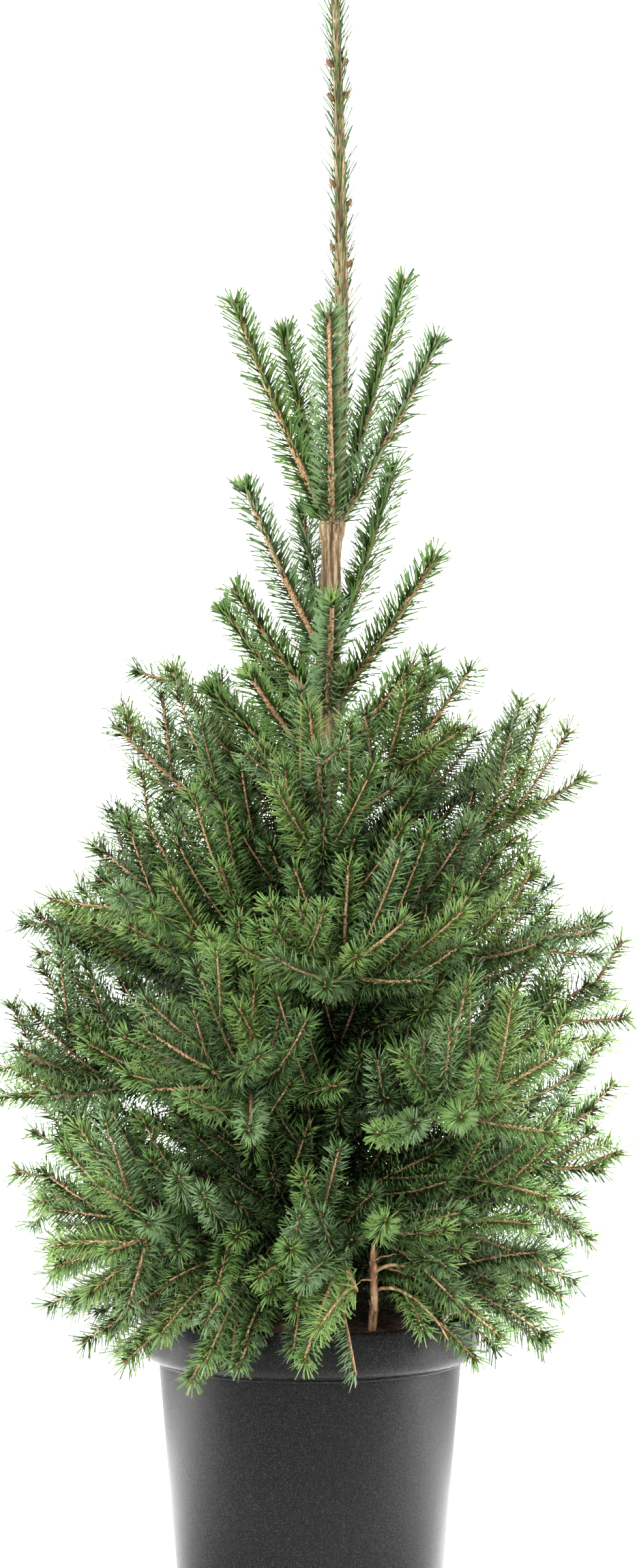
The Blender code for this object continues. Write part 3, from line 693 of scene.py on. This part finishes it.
def greenOf(shoot, rng):
    deal, middle = greenDeal, shoot.at(greenDeal["place"])
    out = crownShare(middle) + rng.normal(0, deal["sway"])
    # inner shoots take the deep or dark green: painted shade
    kind = "deep" if out < deal["deepTo"] else "dark" if out < deal["darkTo"] else "outer"
    if middle.z > deal["highFrom"] and out > deal["highOut"]:
        kind = "high"
    if not shoot.limb.twigs:
        kind = "single"
    return deal[kind][int(rng.integers(len(deal[kind])))]


for number, shoot in enumerate(shoots):
    rng = np.random.default_rng(number + 7)
    dress(shoot, greenOf(shoot, rng), rng)


leaderLook = {
    "needles": 560, "steps": 30, "bare": 0.01, "end": 0.012, "radii": (0.0072, 0.003),
    "length": (0.015, 0.021), "lean": (14, 42), "turnSway": 0.2, "greens": ("green", "dark", "dark"),
    "tuft": 44, "tuftLean": (4, 34), "tuftLength": (0.009, 0.012),
}


def dressLeader():
    look, rng = leaderLook, np.random.default_rng(3)
    foot, top = growth["trunkTop"] + look["bare"], growth["leaderTop"] - look["end"]
    steps = look["steps"]
    line = [leaderAxis(mix(foot, top, i / steps)) for i in range(steps + 1)]
    stem = Shoot(line, look["radii"], 0, None, Vector((1, 0, 0)))
    count = look["needles"]
    shares = (np.arange(count) + rng.uniform(0, 1, count)) / count
    turns = np.arange(count) * goldenTurn + rng.normal(0, look["turnSway"], count)
    leans, lengths = np.radians(rng.uniform(*look["lean"], count)), rng.uniform(*look["length"], count)
    for k, green in enumerate(look["greens"]):
        part = slice(k, None, len(look["greens"]))
        spray(stem, shares[part], turns[part], leans[part], lengths[part], green)
    count = look["tuft"]
    leans = np.radians(np.linspace(*look["tuftLean"], count))
    lengths = rng.uniform(*look["tuftLength"], count)
    spray(stem, np.ones(count), np.arange(count) * goldenTurn, leans, lengths, "fresh")


dressLeader()


def makeNeedles(name, colour, roughness):      # one green's needles, in pieces of a limited size
    look, total = needleLook, 0
    finish = Finish(name + "Needles", colour, roughness, look["specular"])
    soft = finish.cloud(look["lumps"], detail=2.0)
    finish.roughness(soft * look["lumpShine"] + (roughness - look["shine"]))
    batches, size = [[]], 0
    for entry in sorted(heaps[name], key=lambda entry: entry[1][0][0][2] if len(entry[1][0]) else 0):
        if size > look["pieceNeedles"]:
            batches.append([])
            size = 0
        batches[-1].append(entry)
        size += len(entry[1][0])
    for number, batch in enumerate(batches):
        roots, aheads, sides, lengths, widths, bows = (
            np.concatenate([entry[1][k] for entry in batch]) for k in range(6))
        corners, faces = needleBodies(roots, aheads, sides, lengths, widths, bows, look["taper"])
        made = joinedMesh(f"{name}Needles{number + 1}", corners, faces, finish)
        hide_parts(*sorted({entry[0] for entry in batch}))
        total += len(roots)
        print(made.name, len(roots), "needles")
    return total


print("needles in all:", sum(makeNeedles(name, *look) for name, look in greens.items()))


# twigs

twigSides = (7, 4, 4, 3)      # by order
twigSkin = Finish("twigSkin", (0.3, 0.16, 0.075), 0.7)
twigSkin.mottle(0.0016, (
    (0.3, (0.15, 0.07, 0.032)), (0.48, (0.4, 0.22, 0.105)), (0.7, (0.72, 0.5, 0.29))), 0.0006, detail=2.0)


def makeTwigs():
    corners, faces, base = [], [], 0
    for order, sides in enumerate(twigSides):
        chosen = [shoot for shoot in shoots if shoot.order == order]
        for steps in sorted({len(shoot.points) for shoot in chosen}):
            group = [shoot for shoot in chosen if len(shoot.points) == steps]
            lines = np.array([[tuple(point) for point in shoot.points] for shoot in group])
            skin, rings = tubes(lines, np.array([np.linspace(*shoot.radii, steps) for shoot in group]), sides)
            corners.append(skin)
            faces += [[v + base for v in face] for face in rings]
            base += len(skin)
    return joinedMesh("twigs", np.concatenate(corners), faces, twigSkin)


twigs = makeTwigs()
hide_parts(*sorted(limb.node for limb in limbs))
print("twigs made:", len(twigs.data.polygons), "faces")


# buds and their scales

budLook = {
    "outline": ((-0.1, 0.5), (0.4, 1.0), (0.75, 0.62), (1.0, 0.08)),      # of the length and of the width
    "tip": (0.0036, 0.0026), "collar": (0.0048, 0.0056), "lateral": (0.0034, 0.0024),      # length and width
    "step": 0.024, "stepSway": (0.6, 1.5), "tipShare": 0.3, "sunk": 0.001, "from": 0.012, "before": 0.01,
    "depth": 0.8, "forward": 0.8, "leaderOff": 0.0045, "leaderOut": 0.75, "crownOff": 0.003, "crownOut": 0.5,
    "leader": (0.0078, 0.005), "leaderPlaces": (      # height and direction
        (1.1605, 20), (1.159, 195), (1.1355, 10), (1.133, 205), (1.067, 200), (1.052, 8),
        (1.018, 170), (1.005, 340), (0.966, 60), (0.93, 250), (0.9, 30)),
    "top": (0.008, 0.0072), "crown": (0.006, 0.0042), "crownTurns": (20, 140, 260), "topDown": 0.0135,
}
budSkin = Finish("budScales", (0.2, 0.075, 0.035), 0.55)
budSkin.mottle(0.0012, ((0.35, (0.09, 0.03, 0.018)), (0.65, (0.3, 0.13, 0.06))))


def makeBuds():
    look, lines, radii = budLook, [], []

    def bud(place, ahead, kind):
        length, width = look[kind]
        lines.append([tuple(place + ahead * length * t) for t, _ in look["outline"]])
        radii.append([width / 2 * r for _, r in look["outline"]])

    for number, shoot in enumerate(shoots):
        rng = random.Random(number)
        end, ahead = shoot.points[-1], shoot.ahead(1)
        if shoot.order < 2 or rng.random() < look["tipShare"]:
            bud(end - ahead * look["sunk"], ahead, "tip" if shoot.limb.twigs else "collar")
        place = look["from"]
        while shoot.order == 0 and place < shoot.length - look["before"]:
            share = place / shoot.length
            forward, turn = shoot.ahead(share), rng.uniform(0, fullTurn)
            side = squareTo(shoot.side, forward)
            out = side * cos(turn) + side.cross(forward) * sin(turn)
            foot = shoot.at(share) + out * mix(*shoot.radii, share) * look["depth"]
            bud(foot, (out + forward * look["forward"]).normalized(), "lateral")
            place += look["step"] * rng.uniform(*look["stepSway"])
    for height, turn in look["leaderPlaces"]:
        foot = leaderAxis(height) + heading(turn) * look["leaderOff"]
        bud(foot, (heading(turn) * look["leaderOut"] + upward).normalized(), "leader")
    top = leaderAxis(growth["leaderTop"] - look["topDown"])
    bud(top, upward, "top")
    for turn in look["crownTurns"]:
        foot = top + heading(turn) * look["crownOff"]
        bud(foot, (upward + heading(turn) * look["crownOut"]).normalized(), "crown")
    return tubeMesh("buds", lines, radii, 4, budSkin)


buds = makeBuds()
print("buds made:", len(buds.data.polygons), "faces")


# limbs with bark relief: a circle extruded ring by ring, then the bark worked into its skin

def extrudeRings(name, rings, sides, finish):      # rings are (centre, radius), square to the first step
    ahead = (rings[1][0] - rings[0][0]).normalized()
    turned = ahead.to_track_quat("Z", "Y").to_euler()
    deselect()
    bpy.ops.mesh.primitive_circle_add(vertices=sides, radius=rings[0][1], fill_type="NGON",
                                      location=rings[0][0], rotation=turned)
    made = bpy.context.object
    made.name = made.data.name = name
    setMode("EDIT")
    for (last, wide), (centre, radius) in zip(rings, rings[1:]):
        bpy.ops.mesh.extrude_region_move(TRANSFORM_OT_translate={"value": centre - last})
        size = radius / wide
        bpy.ops.transform.resize(value=(size, size, size), center_override=centre)
    bpy.ops.mesh.select_all(action="SELECT")
    bpy.ops.mesh.normals_make_consistent(inside=False)
    setMode("OBJECT")
    bpy.ops.object.transform_apply(location=True, rotation=True, scale=True)
    bpy.ops.object.shade_smooth()
    made.data.materials.append(finish.material)
    return made


barkRelief = {"fineness": 420, "start": (3.1, 0.7), "finer": 2.3, "finerStart": (9.0, 4.0), "finerRun": 3}


def workBark(made, axisAt, look, swell=None):      # pushes each corner out by the bark's ridges
    relief = barkRelief
    for corner in made.data.vertices:
        centre, share = axisAt(corner.co)
        out = corner.co - centre
        if out.length < tiny:
            continue
        spot, run = out * relief["fineness"], share * look["lengthwise"]
        finer = spot * relief["finer"] + Vector((*relief["finerStart"], run * relief["finerRun"]))
        ridge = noise.noise(spot + Vector((*relief["start"], run))) + 0.5 * noise.noise(finer)
        corner.co += out.normalized() * (look["depth"] * ridge + (swell(corner.co) if swell else 0))


barkSkin = Finish("spruceBark", (0.33, 0.22, 0.12), 0.82)
fibre = barkSkin.cloud(0.0034, (1, 1, 0.07), detail=6.0, rough=0.75)
blotch = barkSkin.cloud(0.022, (1, 1, 0.5), detail=2.0)
pale = barkSkin.tint(fibre, ((0.36, (0.022, 0.012, 0.006)), (0.45, (0.13, 0.075, 0.032)),
                             (0.55, (0.4, 0.29, 0.15)), (0.66, (0.68, 0.56, 0.37))))
barkSkin.colour(barkSkin.blend(blotch * 0.35, pale, (0.11, 0.062, 0.03, 1)))
barkSkin.roughness(0.92 - fibre * 0.2)
barkSkin.bump(fibre, 0.0012, 0.8)

trunkLook = {
    "radii": ((0.0, 0.0175), (0.012, 0.0148), (0.035, 0.0128), (0.1, 0.0118), (0.22, 0.011),
              (0.38, 0.0098), (0.5, 0.0088), (1.0, 0.0078)),
    "rings": 110, "crowding": 1.25, "sides": 24, "depth": 0.0011, "lengthwise": 30,
    "flare": ((0.0, 0.16), (0.012, 0.11), (0.035, 0.05), (0.1, 0.0)), "flareSize": 0.016, "flareTurn": 0.7,
    "whorls": ((0.806, 0.003), (0.698, 0.002), (0.662, 0.0022), (0.618, 0.0016), (0.55, 0.0016),
               (0.452, 0.0018), (0.365, 0.0018), (0.279, 0.0018)),
    "whorlWidth": 0.007,
}


def makeStem(name, axis, foot, top, look, swell=None):
    height = top - foot
    shares = [(i / look["rings"]) ** look["crowding"] for i in range(look["rings"] + 1)]
    rings = [(axis(foot + t * height), along(look["radii"], t)) for t in shares]
    made = extrudeRings(name, rings, look["sides"], barkSkin)
    workBark(made, lambda point: (axis(point.z), (point.z - foot) / height), look, swell)
    return made


def makeTrunk():
    look, foot, top = trunkLook, growth["trunkFoot"], growth["trunkTop"]

    def swell(point):
        around = point - trunkAxis(point.z)
        lobe = cos(3 * atan2(around.y, around.x) + look["flareTurn"])
        whorl = sum(size * exp(-((point.z - at) / look["whorlWidth"]) ** 2) for at, size in look["whorls"])
        return whorl + along(look["flare"], (point.z - foot) / (top - foot)) * look["flareSize"] * lobe

    made = makeStem("barkTrunk", trunkAxis, foot, top, look, swell)
    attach(made, "root")
    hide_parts("trunk")
    return made


leaderStem = {
    "radii": ((0.0, 0.0078), (0.18, 0.0066), (0.38, 0.0056), (0.59, 0.0045), (0.77, 0.0037), (0.965, 0.003),
              (0.985, 0.0026), (1.0, 0.0008)),
    "rings": 90, "crowding": 1, "sides": 18, "depth": 0.0006, "lengthwise": 24, "end": 0.01,
}


def makeLeader():
    top = growth["leaderTop"] - leaderStem["end"]
    made = makeStem("barkLeader", leaderAxis, growth["trunkTop"], top, leaderStem)
    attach(made, "root")
    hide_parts("leader")
    return made


boughLook = {"share": 0.46, "rings": 26, "sides": 12, "depth": 0.00035, "lengthwise": 16,
             "wider": 1.12, "collar": 0.35, "collarShare": 0.09}


def makeBoughs():
    look, made = boughLook, []
    steps = look["rings"]
    for limb in limbs:
        if not limb.twigs:
            continue
        shares = [look["share"] * i / steps for i in range(steps + 1)]
        collars = [look["wider"] + look["collar"] * max(0, 1 - t / look["collarShare"]) for t in shares]
        rings = [(limb.at(t), limb.thickness(t) * collar) for t, collar in zip(shares, collars)]
        bough = extrudeRings("bough", rings, look["sides"], barkSkin)
        line = kdtree.KDTree(len(rings))
        for i, (centre, _) in enumerate(rings):
            line.insert(centre, i)
        line.balance()

        def axisAt(point):
            _, i, _ = line.find(point)
            return rings[i][0], i / steps

        workBark(bough, axisAt, look)
        made.append(bough)
    deselect()
    for bough in made:
        bough.select_set(True)
    bpy.context.view_layer.objects.active = made[0]
    bpy.ops.object.join()
    joined = bpy.context.object
    joined.name = joined.data.name = "barkBoughs"
    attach(joined, "root")
    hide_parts(*[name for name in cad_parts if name.endswith("_bough")])
    return joined


barked = makeTrunk(), makeLeader(), makeBoughs()
print("trunk, leader and boughs made:", [len(made.data.polygons) for made in barked])


# the container, extruded up the outside and down the inside

potLook = {
    "sides": 128, "sharpFrom": 40,
    "profile": (      # radius and height
        (0.0945, 0.0), (0.0968, 0.0003), (0.0992, 0.0016), (0.101, 0.0038), (0.1022, 0.007),
        (0.1057, 0.045), (0.1092, 0.087), (0.1127, 0.128), (0.1155, 0.161), (0.1159, 0.1655),
        (0.1159, 0.1664), (0.1175, 0.1668), (0.1181, 0.1674), (0.1182, 0.1682), (0.118, 0.1688),
        (0.1203, 0.1692), (0.1235, 0.1704), (0.1262, 0.1726), (0.1279, 0.1752), (0.12865, 0.1785),
        (0.1292, 0.19), (0.12985, 0.2025), (0.12965, 0.2038), (0.129, 0.2047), (0.1282, 0.205),
        (0.1272, 0.2048), (0.1265, 0.204), (0.1262, 0.202), (0.1252, 0.186), (0.1235, 0.176),
        (0.113, 0.169), (0.1075, 0.1), (0.099, 0.0045), (0.06, 0.004)),
}
potSkin = Finish("anthracitePlastic", (0.003, 0.003, 0.0034), 0.26, specular=0.1)
grain = potSkin.cloud(0.0011, detail=1.0)
scuff = potSkin.cloud(0.045, (1, 1, 0.25), detail=4.0)
potSkin.colour(potSkin.tint(grain, (
    (0.3, (0.0015, 0.0015, 0.0015)), (0.52, (0.004, 0.004, 0.0045)), (0.74, (0.02, 0.019, 0.018)))))
potSkin.roughness(scuff * 0.1 + grain * 0.08 + 0.19)
potSkin.bump(grain, 0.00012, 0.6)


def makePot():
    rings = [(upward * height, radius) for radius, height in potLook["profile"]]
    made = extrudeRings("container", rings, potLook["sides"], potSkin)
    bpy.ops.object.shade_smooth_by_angle(angle=radians(potLook["sharpFrom"]))
    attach(made, "root")
    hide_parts("pot")
    return made


pot = makePot()
print("pot made:", len(pot.data.polygons), "faces")


# the root ball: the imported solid's own shape, cut finer and roughened, with roots laid over it

ballLook = {"cuts": 3, "lump": 0.0022, "lumps": 70, "crumb": 0.0011, "crumbs": 260, "topFrom": 0.19,
            "pad": 0.022, "padEdge": 0.02, "weld": 0.00002, "flat": 0.3}
rootMat = Finish("rootMat", (0.1, 0.055, 0.03), 0.95)
rootMat.mottle(0.004, (
    (0.32, (0.022, 0.013, 0.009)), (0.5, (0.085, 0.048, 0.028)), (0.7, (0.22, 0.14, 0.085))),
    0.002, detail=6.0, rough=0.7)


def makeBall():
    look = ballLook
    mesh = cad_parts["root_ball"].data.copy()
    made = bpy.data.objects.new("rootBall", mesh)
    bpy.context.scene.collection.objects.link(made)
    deselect()
    bpy.context.view_layer.objects.active = made
    made.select_set(True)
    setMode("EDIT")
    bpy.ops.mesh.select_all(action="SELECT")
    bpy.ops.mesh.remove_doubles(threshold=look["weld"])
    bpy.ops.mesh.dissolve_limited(angle_limit=radians(look["flat"]))
    bpy.ops.mesh.quads_convert_to_tris()
    bpy.ops.mesh.subdivide(number_cuts=look["cuts"])
    setMode("OBJECT")
    mesh.materials.clear()
    mesh.materials.append(rootMat.material)
    for corner, normal in zip(mesh.vertices, [Vector(v.normal) for v in mesh.vertices]):
        if corner.co.z >= look["topFrom"]:      # the pad under the trunk stays flat
            away = clamp((corner.co.xy.length - look["pad"]) / look["padEdge"])
            push = noise.noise(corner.co * look["lumps"]) * look["lump"]
            push += noise.noise(corner.co * look["crumbs"]) * look["crumb"]
            corner.co += normal * push * away
    bpy.ops.object.shade_smooth()
    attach(made, "root")
    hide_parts("root_ball")
    return made


ball = makeBall()

rootLook = {
    "strands": 520, "steps": 9, "step": 0.0038, "wander": 0.7, "radius": (0.00022, 0.00055), "thinner": 0.5,
    "turn": (180, 62), "reach": (0.05, 0.131), "above": (0.0001, 0.0014),
    "wiry": 46, "wiryTurn": (150, 215), "wiryReach": (0.118, 0.131), "wiryStep": (0.0012, 0.0026),
    "wirySpread": 25, "wiryOut": (0.3, 0.9), "wiryUp": (0.2, 1.0),
    "wiryWander": 0.35, "wiryRadius": 0.0003, "wiryThinner": 0.4, "sunk": 0.002, "rayFrom": 0.35,
}
rootSkin = Finish("fineRoots", (0.12, 0.065, 0.038), 0.8)
rootSkin.mottle(0.006, ((0.35, (0.045, 0.024, 0.015)), (0.65, (0.2, 0.115, 0.065))))


def surfaceAt(x, y):
    hit, place, _, _ = ball.ray_cast(Vector((x, y, rootLook["rayFrom"])), -upward)
    return place.z if hit else None


def makeRoots():      # strands that lie on the ball, and wiry ones that stick out at its proud left edge
    look, rng, lines, radii = rootLook, random.Random(8), [], []
    steps = look["steps"]
    for number in range(look["strands"]):
        turn = rng.gauss(*look["turn"]) if number % 3 else rng.uniform(0, 360)
        place = heading(turn) * rng.uniform(*look["reach"])
        way, line = rng.uniform(0, fullTurn), []
        for _ in range(steps):
            height = surfaceAt(place.x, place.y)
            if height is None:
                break
            line.append((place.x, place.y, height + rng.uniform(*look["above"])))
            way += rng.uniform(-look["wander"], look["wander"])
            place = place + Vector((cos(way), sin(way), 0)) * look["step"]
        if len(line) == steps:
            lines.append(line)
            wide = rng.uniform(*look["radius"])
            radii.append(np.linspace(wide, wide * look["thinner"], steps))
    for number in range(look["wiry"]):
        turn = rng.uniform(*look["wiryTurn"])
        start = heading(turn) * rng.uniform(*look["wiryReach"])
        height = surfaceAt(start.x, start.y)
        if height is None:
            continue
        place, line = start + upward * (height - look["sunk"]), []
        way = heading(turn + rng.uniform(-look["wirySpread"], look["wirySpread"]))
        way = (way * rng.uniform(*look["wiryOut"]) + upward * rng.uniform(*look["wiryUp"])).normalized()
        for _ in range(steps):
            line.append(tuple(place))
            sway = Vector(rng.uniform(-look["wiryWander"], look["wiryWander"]) for _ in "xyz")
            way = (way + sway).normalized()
            place = place + way * rng.uniform(*look["wiryStep"])
        lines.append(line)
        radii.append(look["wiryRadius"] * np.linspace(1, look["wiryThinner"], steps))
    made = tubeMesh("fineRoots", lines, radii, 3, rootSkin)
    return made


roots = makeRoots()

paleStations = (      # of a curl of dry root at the right: place, height above the root ball and radius
    (0.094, -0.076, -0.001, 0.0011), (0.0985, -0.078, 0.007, 0.0012), (0.104, -0.08, 0.0145, 0.0011),
    (0.111, -0.082, 0.0165, 0.001), (0.1165, -0.083, 0.012, 0.001), (0.12, -0.083, 0.0135, 0.0009),
    (0.1235, -0.082, 0.021, 0.0008), (0.1248, -0.081, 0.0265, 0.0004))
paleRoot = Finish("paleRoot", (0.62, 0.47, 0.3), 0.7)
paleRoot.mottle(0.004, ((0.35, (0.4, 0.26, 0.15)), (0.65, (0.72, 0.58, 0.4))))


def makePaleRoot():
    seat = surfaceAt(*paleStations[0][:2])
    line = [(x, y, seat + rise) for x, y, rise, _ in paleStations]
    made = tubeMesh("paleRoot", [line], [[radius for _, _, _, radius in paleStations]], 6, paleRoot)


makePaleRoot()
print("root ball and roots made:", len(ball.data.polygons), len(roots.data.polygons))


# the dead stem at the front right, with peeling bark

deadLook = {
    "depth": 0.0006, "lengthwise": 12, "sides": 14, "height": 0.068, "middle": 0.0012, "sunk": 0.001,
    "stations": (      # height, radius and shift
        (0, 0.0034, 0, 0), (0.012, 0.0031, 0.001, 0), (0.03, 0.0028, 0.002, 0),
        (0.048, 0.0025, 0.0012, -0.0006), (0.06, 0.0021, 0.001, -0.001), (0.068, 0.0011, 0.0016, -0.001)),
    "twigs": (      # height of the foot, reach, rise, fall and radius
        (0.046, 0.062, 0.009, 0.02, 0.0016), (0.032, 0.056, 0.006, 0.034, 0.0015),
        (0.04, -0.014, 0.002, 0.004, 0.001), (0.055, 0.016, 0.002, -0.006, 0.0009)),
    "between": 5, "twigSteps": 9, "twigSway": 0.0008, "twigThinner": 0.45, "twigLift": 0.001,
    "twigAside": -0.0005, "twigForward": 0.012,
    "scraps": 34, "scrapWide": (0.001, 0.0022), "scrapTall": (0.004, 0.009), "scrapCurl": (0.0008, 0.0026),
    "scrapThick": 0.0004, "scrapHeight": (0.002, 0.06), "scrapOff": 0.0024, "scrapTaper": 0.5,
}
deadSkin = Finish("deadBark", (0.42, 0.24, 0.12), 0.85)
deadSkin.mottle(0.0035, (
    (0.34, (0.13, 0.055, 0.025)), (0.5, (0.36, 0.2, 0.1)), (0.68, (0.62, 0.42, 0.24))),
    0.001, stretch=(1, 1, 0.3), detail=4.0)


def makeScraps(foot, rng):      # curled scraps of bark that stand off the stem
    look, corners, faces = deadLook, [], []
    for number in range(look["scraps"]):
        height = rng.uniform(*look["scrapHeight"])
        turn = rng.uniform(0, fullTurn)
        out = Vector((cos(turn), sin(turn), 0))
        across = Vector((-out.y, out.x, 0))
        at = foot + Vector((look["middle"], 0, height)) + out * look["scrapOff"]
        wide, tall, curl = (rng.uniform(*look[key]) for key in ("scrapWide", "scrapTall", "scrapCurl"))
        base = len(corners)
        for k in range(4):
            t = k / 3
            middle = at + upward * tall * t + out * curl * t * t
            side = across * wide * (1 - look["scrapTaper"] * t)
            corners += [middle - side, middle + side, middle + out * look["scrapThick"]]
        for a in range(base, base + 9, 3):
            b = a + 3
            faces += [(a, a + 1, b + 1, b), (a + 1, a + 2, b + 2, b + 1), (a + 2, a, b, b + 2)]
        faces += [(base, base + 2, base + 1), (base + 9, base + 10, base + 11)]
    return joinedMesh("barkScraps", [tuple(v) for v in corners], faces, deadSkin, smooth=False)


def makeDeadStem():
    look, rng, lines, radii = deadLook, random.Random(5), [], []
    low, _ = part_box("dead_stem")
    foot = Vector((*fineGrowth["deadStem"], low.z - look["sunk"]))
    rings = [(foot + Vector((dx, dy, z)), radius) for z, radius, dx, dy in look["stations"]]
    fine, parts = [], look["between"]
    for (a, ra), (b, rb) in zip(rings, rings[1:]):
        fine += [(a.lerp(b, k / parts), mix(ra, rb, k / parts)) for k in range(parts)]
    stem = extrudeRings("deadStem", fine + [rings[-1]], look["sides"], deadSkin)

    def axisAt(point):
        return foot + Vector((look["middle"], 0, point.z - foot.z)), (point.z - foot.z) / look["height"]

    workBark(stem, axisAt, look)
    steps = look["twigSteps"]
    for height, reach, rise, fall, thick in look["twigs"]:
        line = []
        for t in (k / steps for k in range(steps + 1)):
            lift = height + look["twigLift"] + 4 * rise * t * (1 - t) - fall * t * t
            sway = Vector(rng.uniform(-look["twigSway"], look["twigSway"]) for _ in "xyz") * (t > 0)
            aside = look["twigAside"] - look["twigForward"] * t
            line.append(tuple(foot + Vector((look["middle"] + reach * t, aside, lift)) + sway))
        lines.append(line)
        radii.append(thick * np.linspace(1, look["twigThinner"], steps + 1))
    twigsOff = tubeMesh("deadTwigs", lines, radii, 6, deadSkin)
    scraps = makeScraps(foot, rng)
    for made in (stem, twigsOff, scraps):
        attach(made, "root")
    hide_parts("dead_stem")
    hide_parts("dead_stem")


makeDeadStem()
print("dead stem made")


# studio

studio = {"floor": (0.93, 0.93, 0.93), "size": 20.0, "back": 5.0, "wall": 7.0, "bend": 8, "bendStep": 0.32}
paper = Finish("palePaper", studio["floor"], 0.9, specular=0.0)


def makeFloor():      # its back edge is swept up into a wall
    look = studio
    deselect()
    bpy.ops.mesh.primitive_plane_add(size=look["size"], location=(0, look["back"] - look["size"] / 2, 0))
    made = bpy.context.object
    made.name = "paleFloor"
    setMode("EDIT")
    bpy.ops.mesh.select_all(action="DESELECT")
    bpy.ops.mesh.select_mode(type="EDGE")
    setMode("OBJECT")
    for edge in made.data.edges:
        edge.select = all(made.data.vertices[v].co.y > 0 for v in edge.vertices)
    setMode("EDIT")
    turns = [radians(90 * (step + 0.5) / look["bend"]) for step in range(look["bend"])]
    for move in [(0, look["bendStep"] * cos(turn), look["bendStep"] * sin(turn)) for turn in turns]:
        bpy.ops.mesh.extrude_region_move(TRANSFORM_OT_translate={"value": move})
    bpy.ops.mesh.extrude_region_move(TRANSFORM_OT_translate={"value": (0, 0, look["wall"])})
    setMode("OBJECT")
    bpy.ops.object.shade_smooth()
    made.data.materials.append(paper.material)


makeFloor()


def softLight(name, place, target, size, power, spread=180):
    lamp = bpy.data.lights.new(name, "AREA")
    lamp.shape, lamp.size, lamp.size_y = "RECTANGLE", size[0], size[1]
    lamp.energy, lamp.spread = power, radians(spread)
    made = bpy.data.objects.new(name, lamp)
    bpy.context.scene.collection.objects.link(made)
    made.location = place
    made.rotation_euler = (Vector(target) - Vector(place)).to_track_quat("-Z", "Y").to_euler()
    made.visible_camera = False


softLight("topLight", (0.0, -0.1, 3.0), (0, 0, 0.6), (2.4, 1.6), 88)
softLight("leftPanel", (-1.95, 0.25, 0.9), (0, 0, 0.6), (2.2, 2.0), 42)
softLight("rightPanel", (1.95, 0.15, 0.9), (0, 0, 0.6), (2.4, 2.0), 47)
softLight("leftLow", (-1.15, 0.05, 0.75), (-0.7, 0.05, 0), (0.3, 0.9), 12, 50)
softLight("rightLow", (1.1, -0.05, 0.75), (0.66, -0.05, 0), (0.3, 1.0), 14, 50)
softLight("frontLight", (-1.3, -3.0, 1.5), (0, 0, 0.65), (1.3, 1.3), 100)
softLight("backWash", (0.0, 3.4, 3.8), (0, 4.6, 0.6), (5.0, 0.8), 420, 110)

world = bpy.data.worlds.new("studioWorld")
bpy.context.scene.world = world
world.use_nodes = True
sky = world.node_tree.nodes["Background"].inputs
sky["Color"].default_value = (1, 1, 1, 1)
sky["Strength"].default_value = 0.5
bpy.context.scene.view_settings.view_transform = "Standard"

lens = {"place": (0.0073, -2.9, 0.6086), "focal": 86.72, "sensor": 36.0}
camera = bpy.data.objects.new("camera", bpy.data.cameras.new("camera"))
bpy.context.scene.collection.objects.link(camera)
camera.location = lens["place"]
camera.rotation_euler = (pi / 2, 0, 0)
camera.data.lens, camera.data.sensor_width = lens["focal"], lens["sensor"]
bpy.context.scene.camera = camera
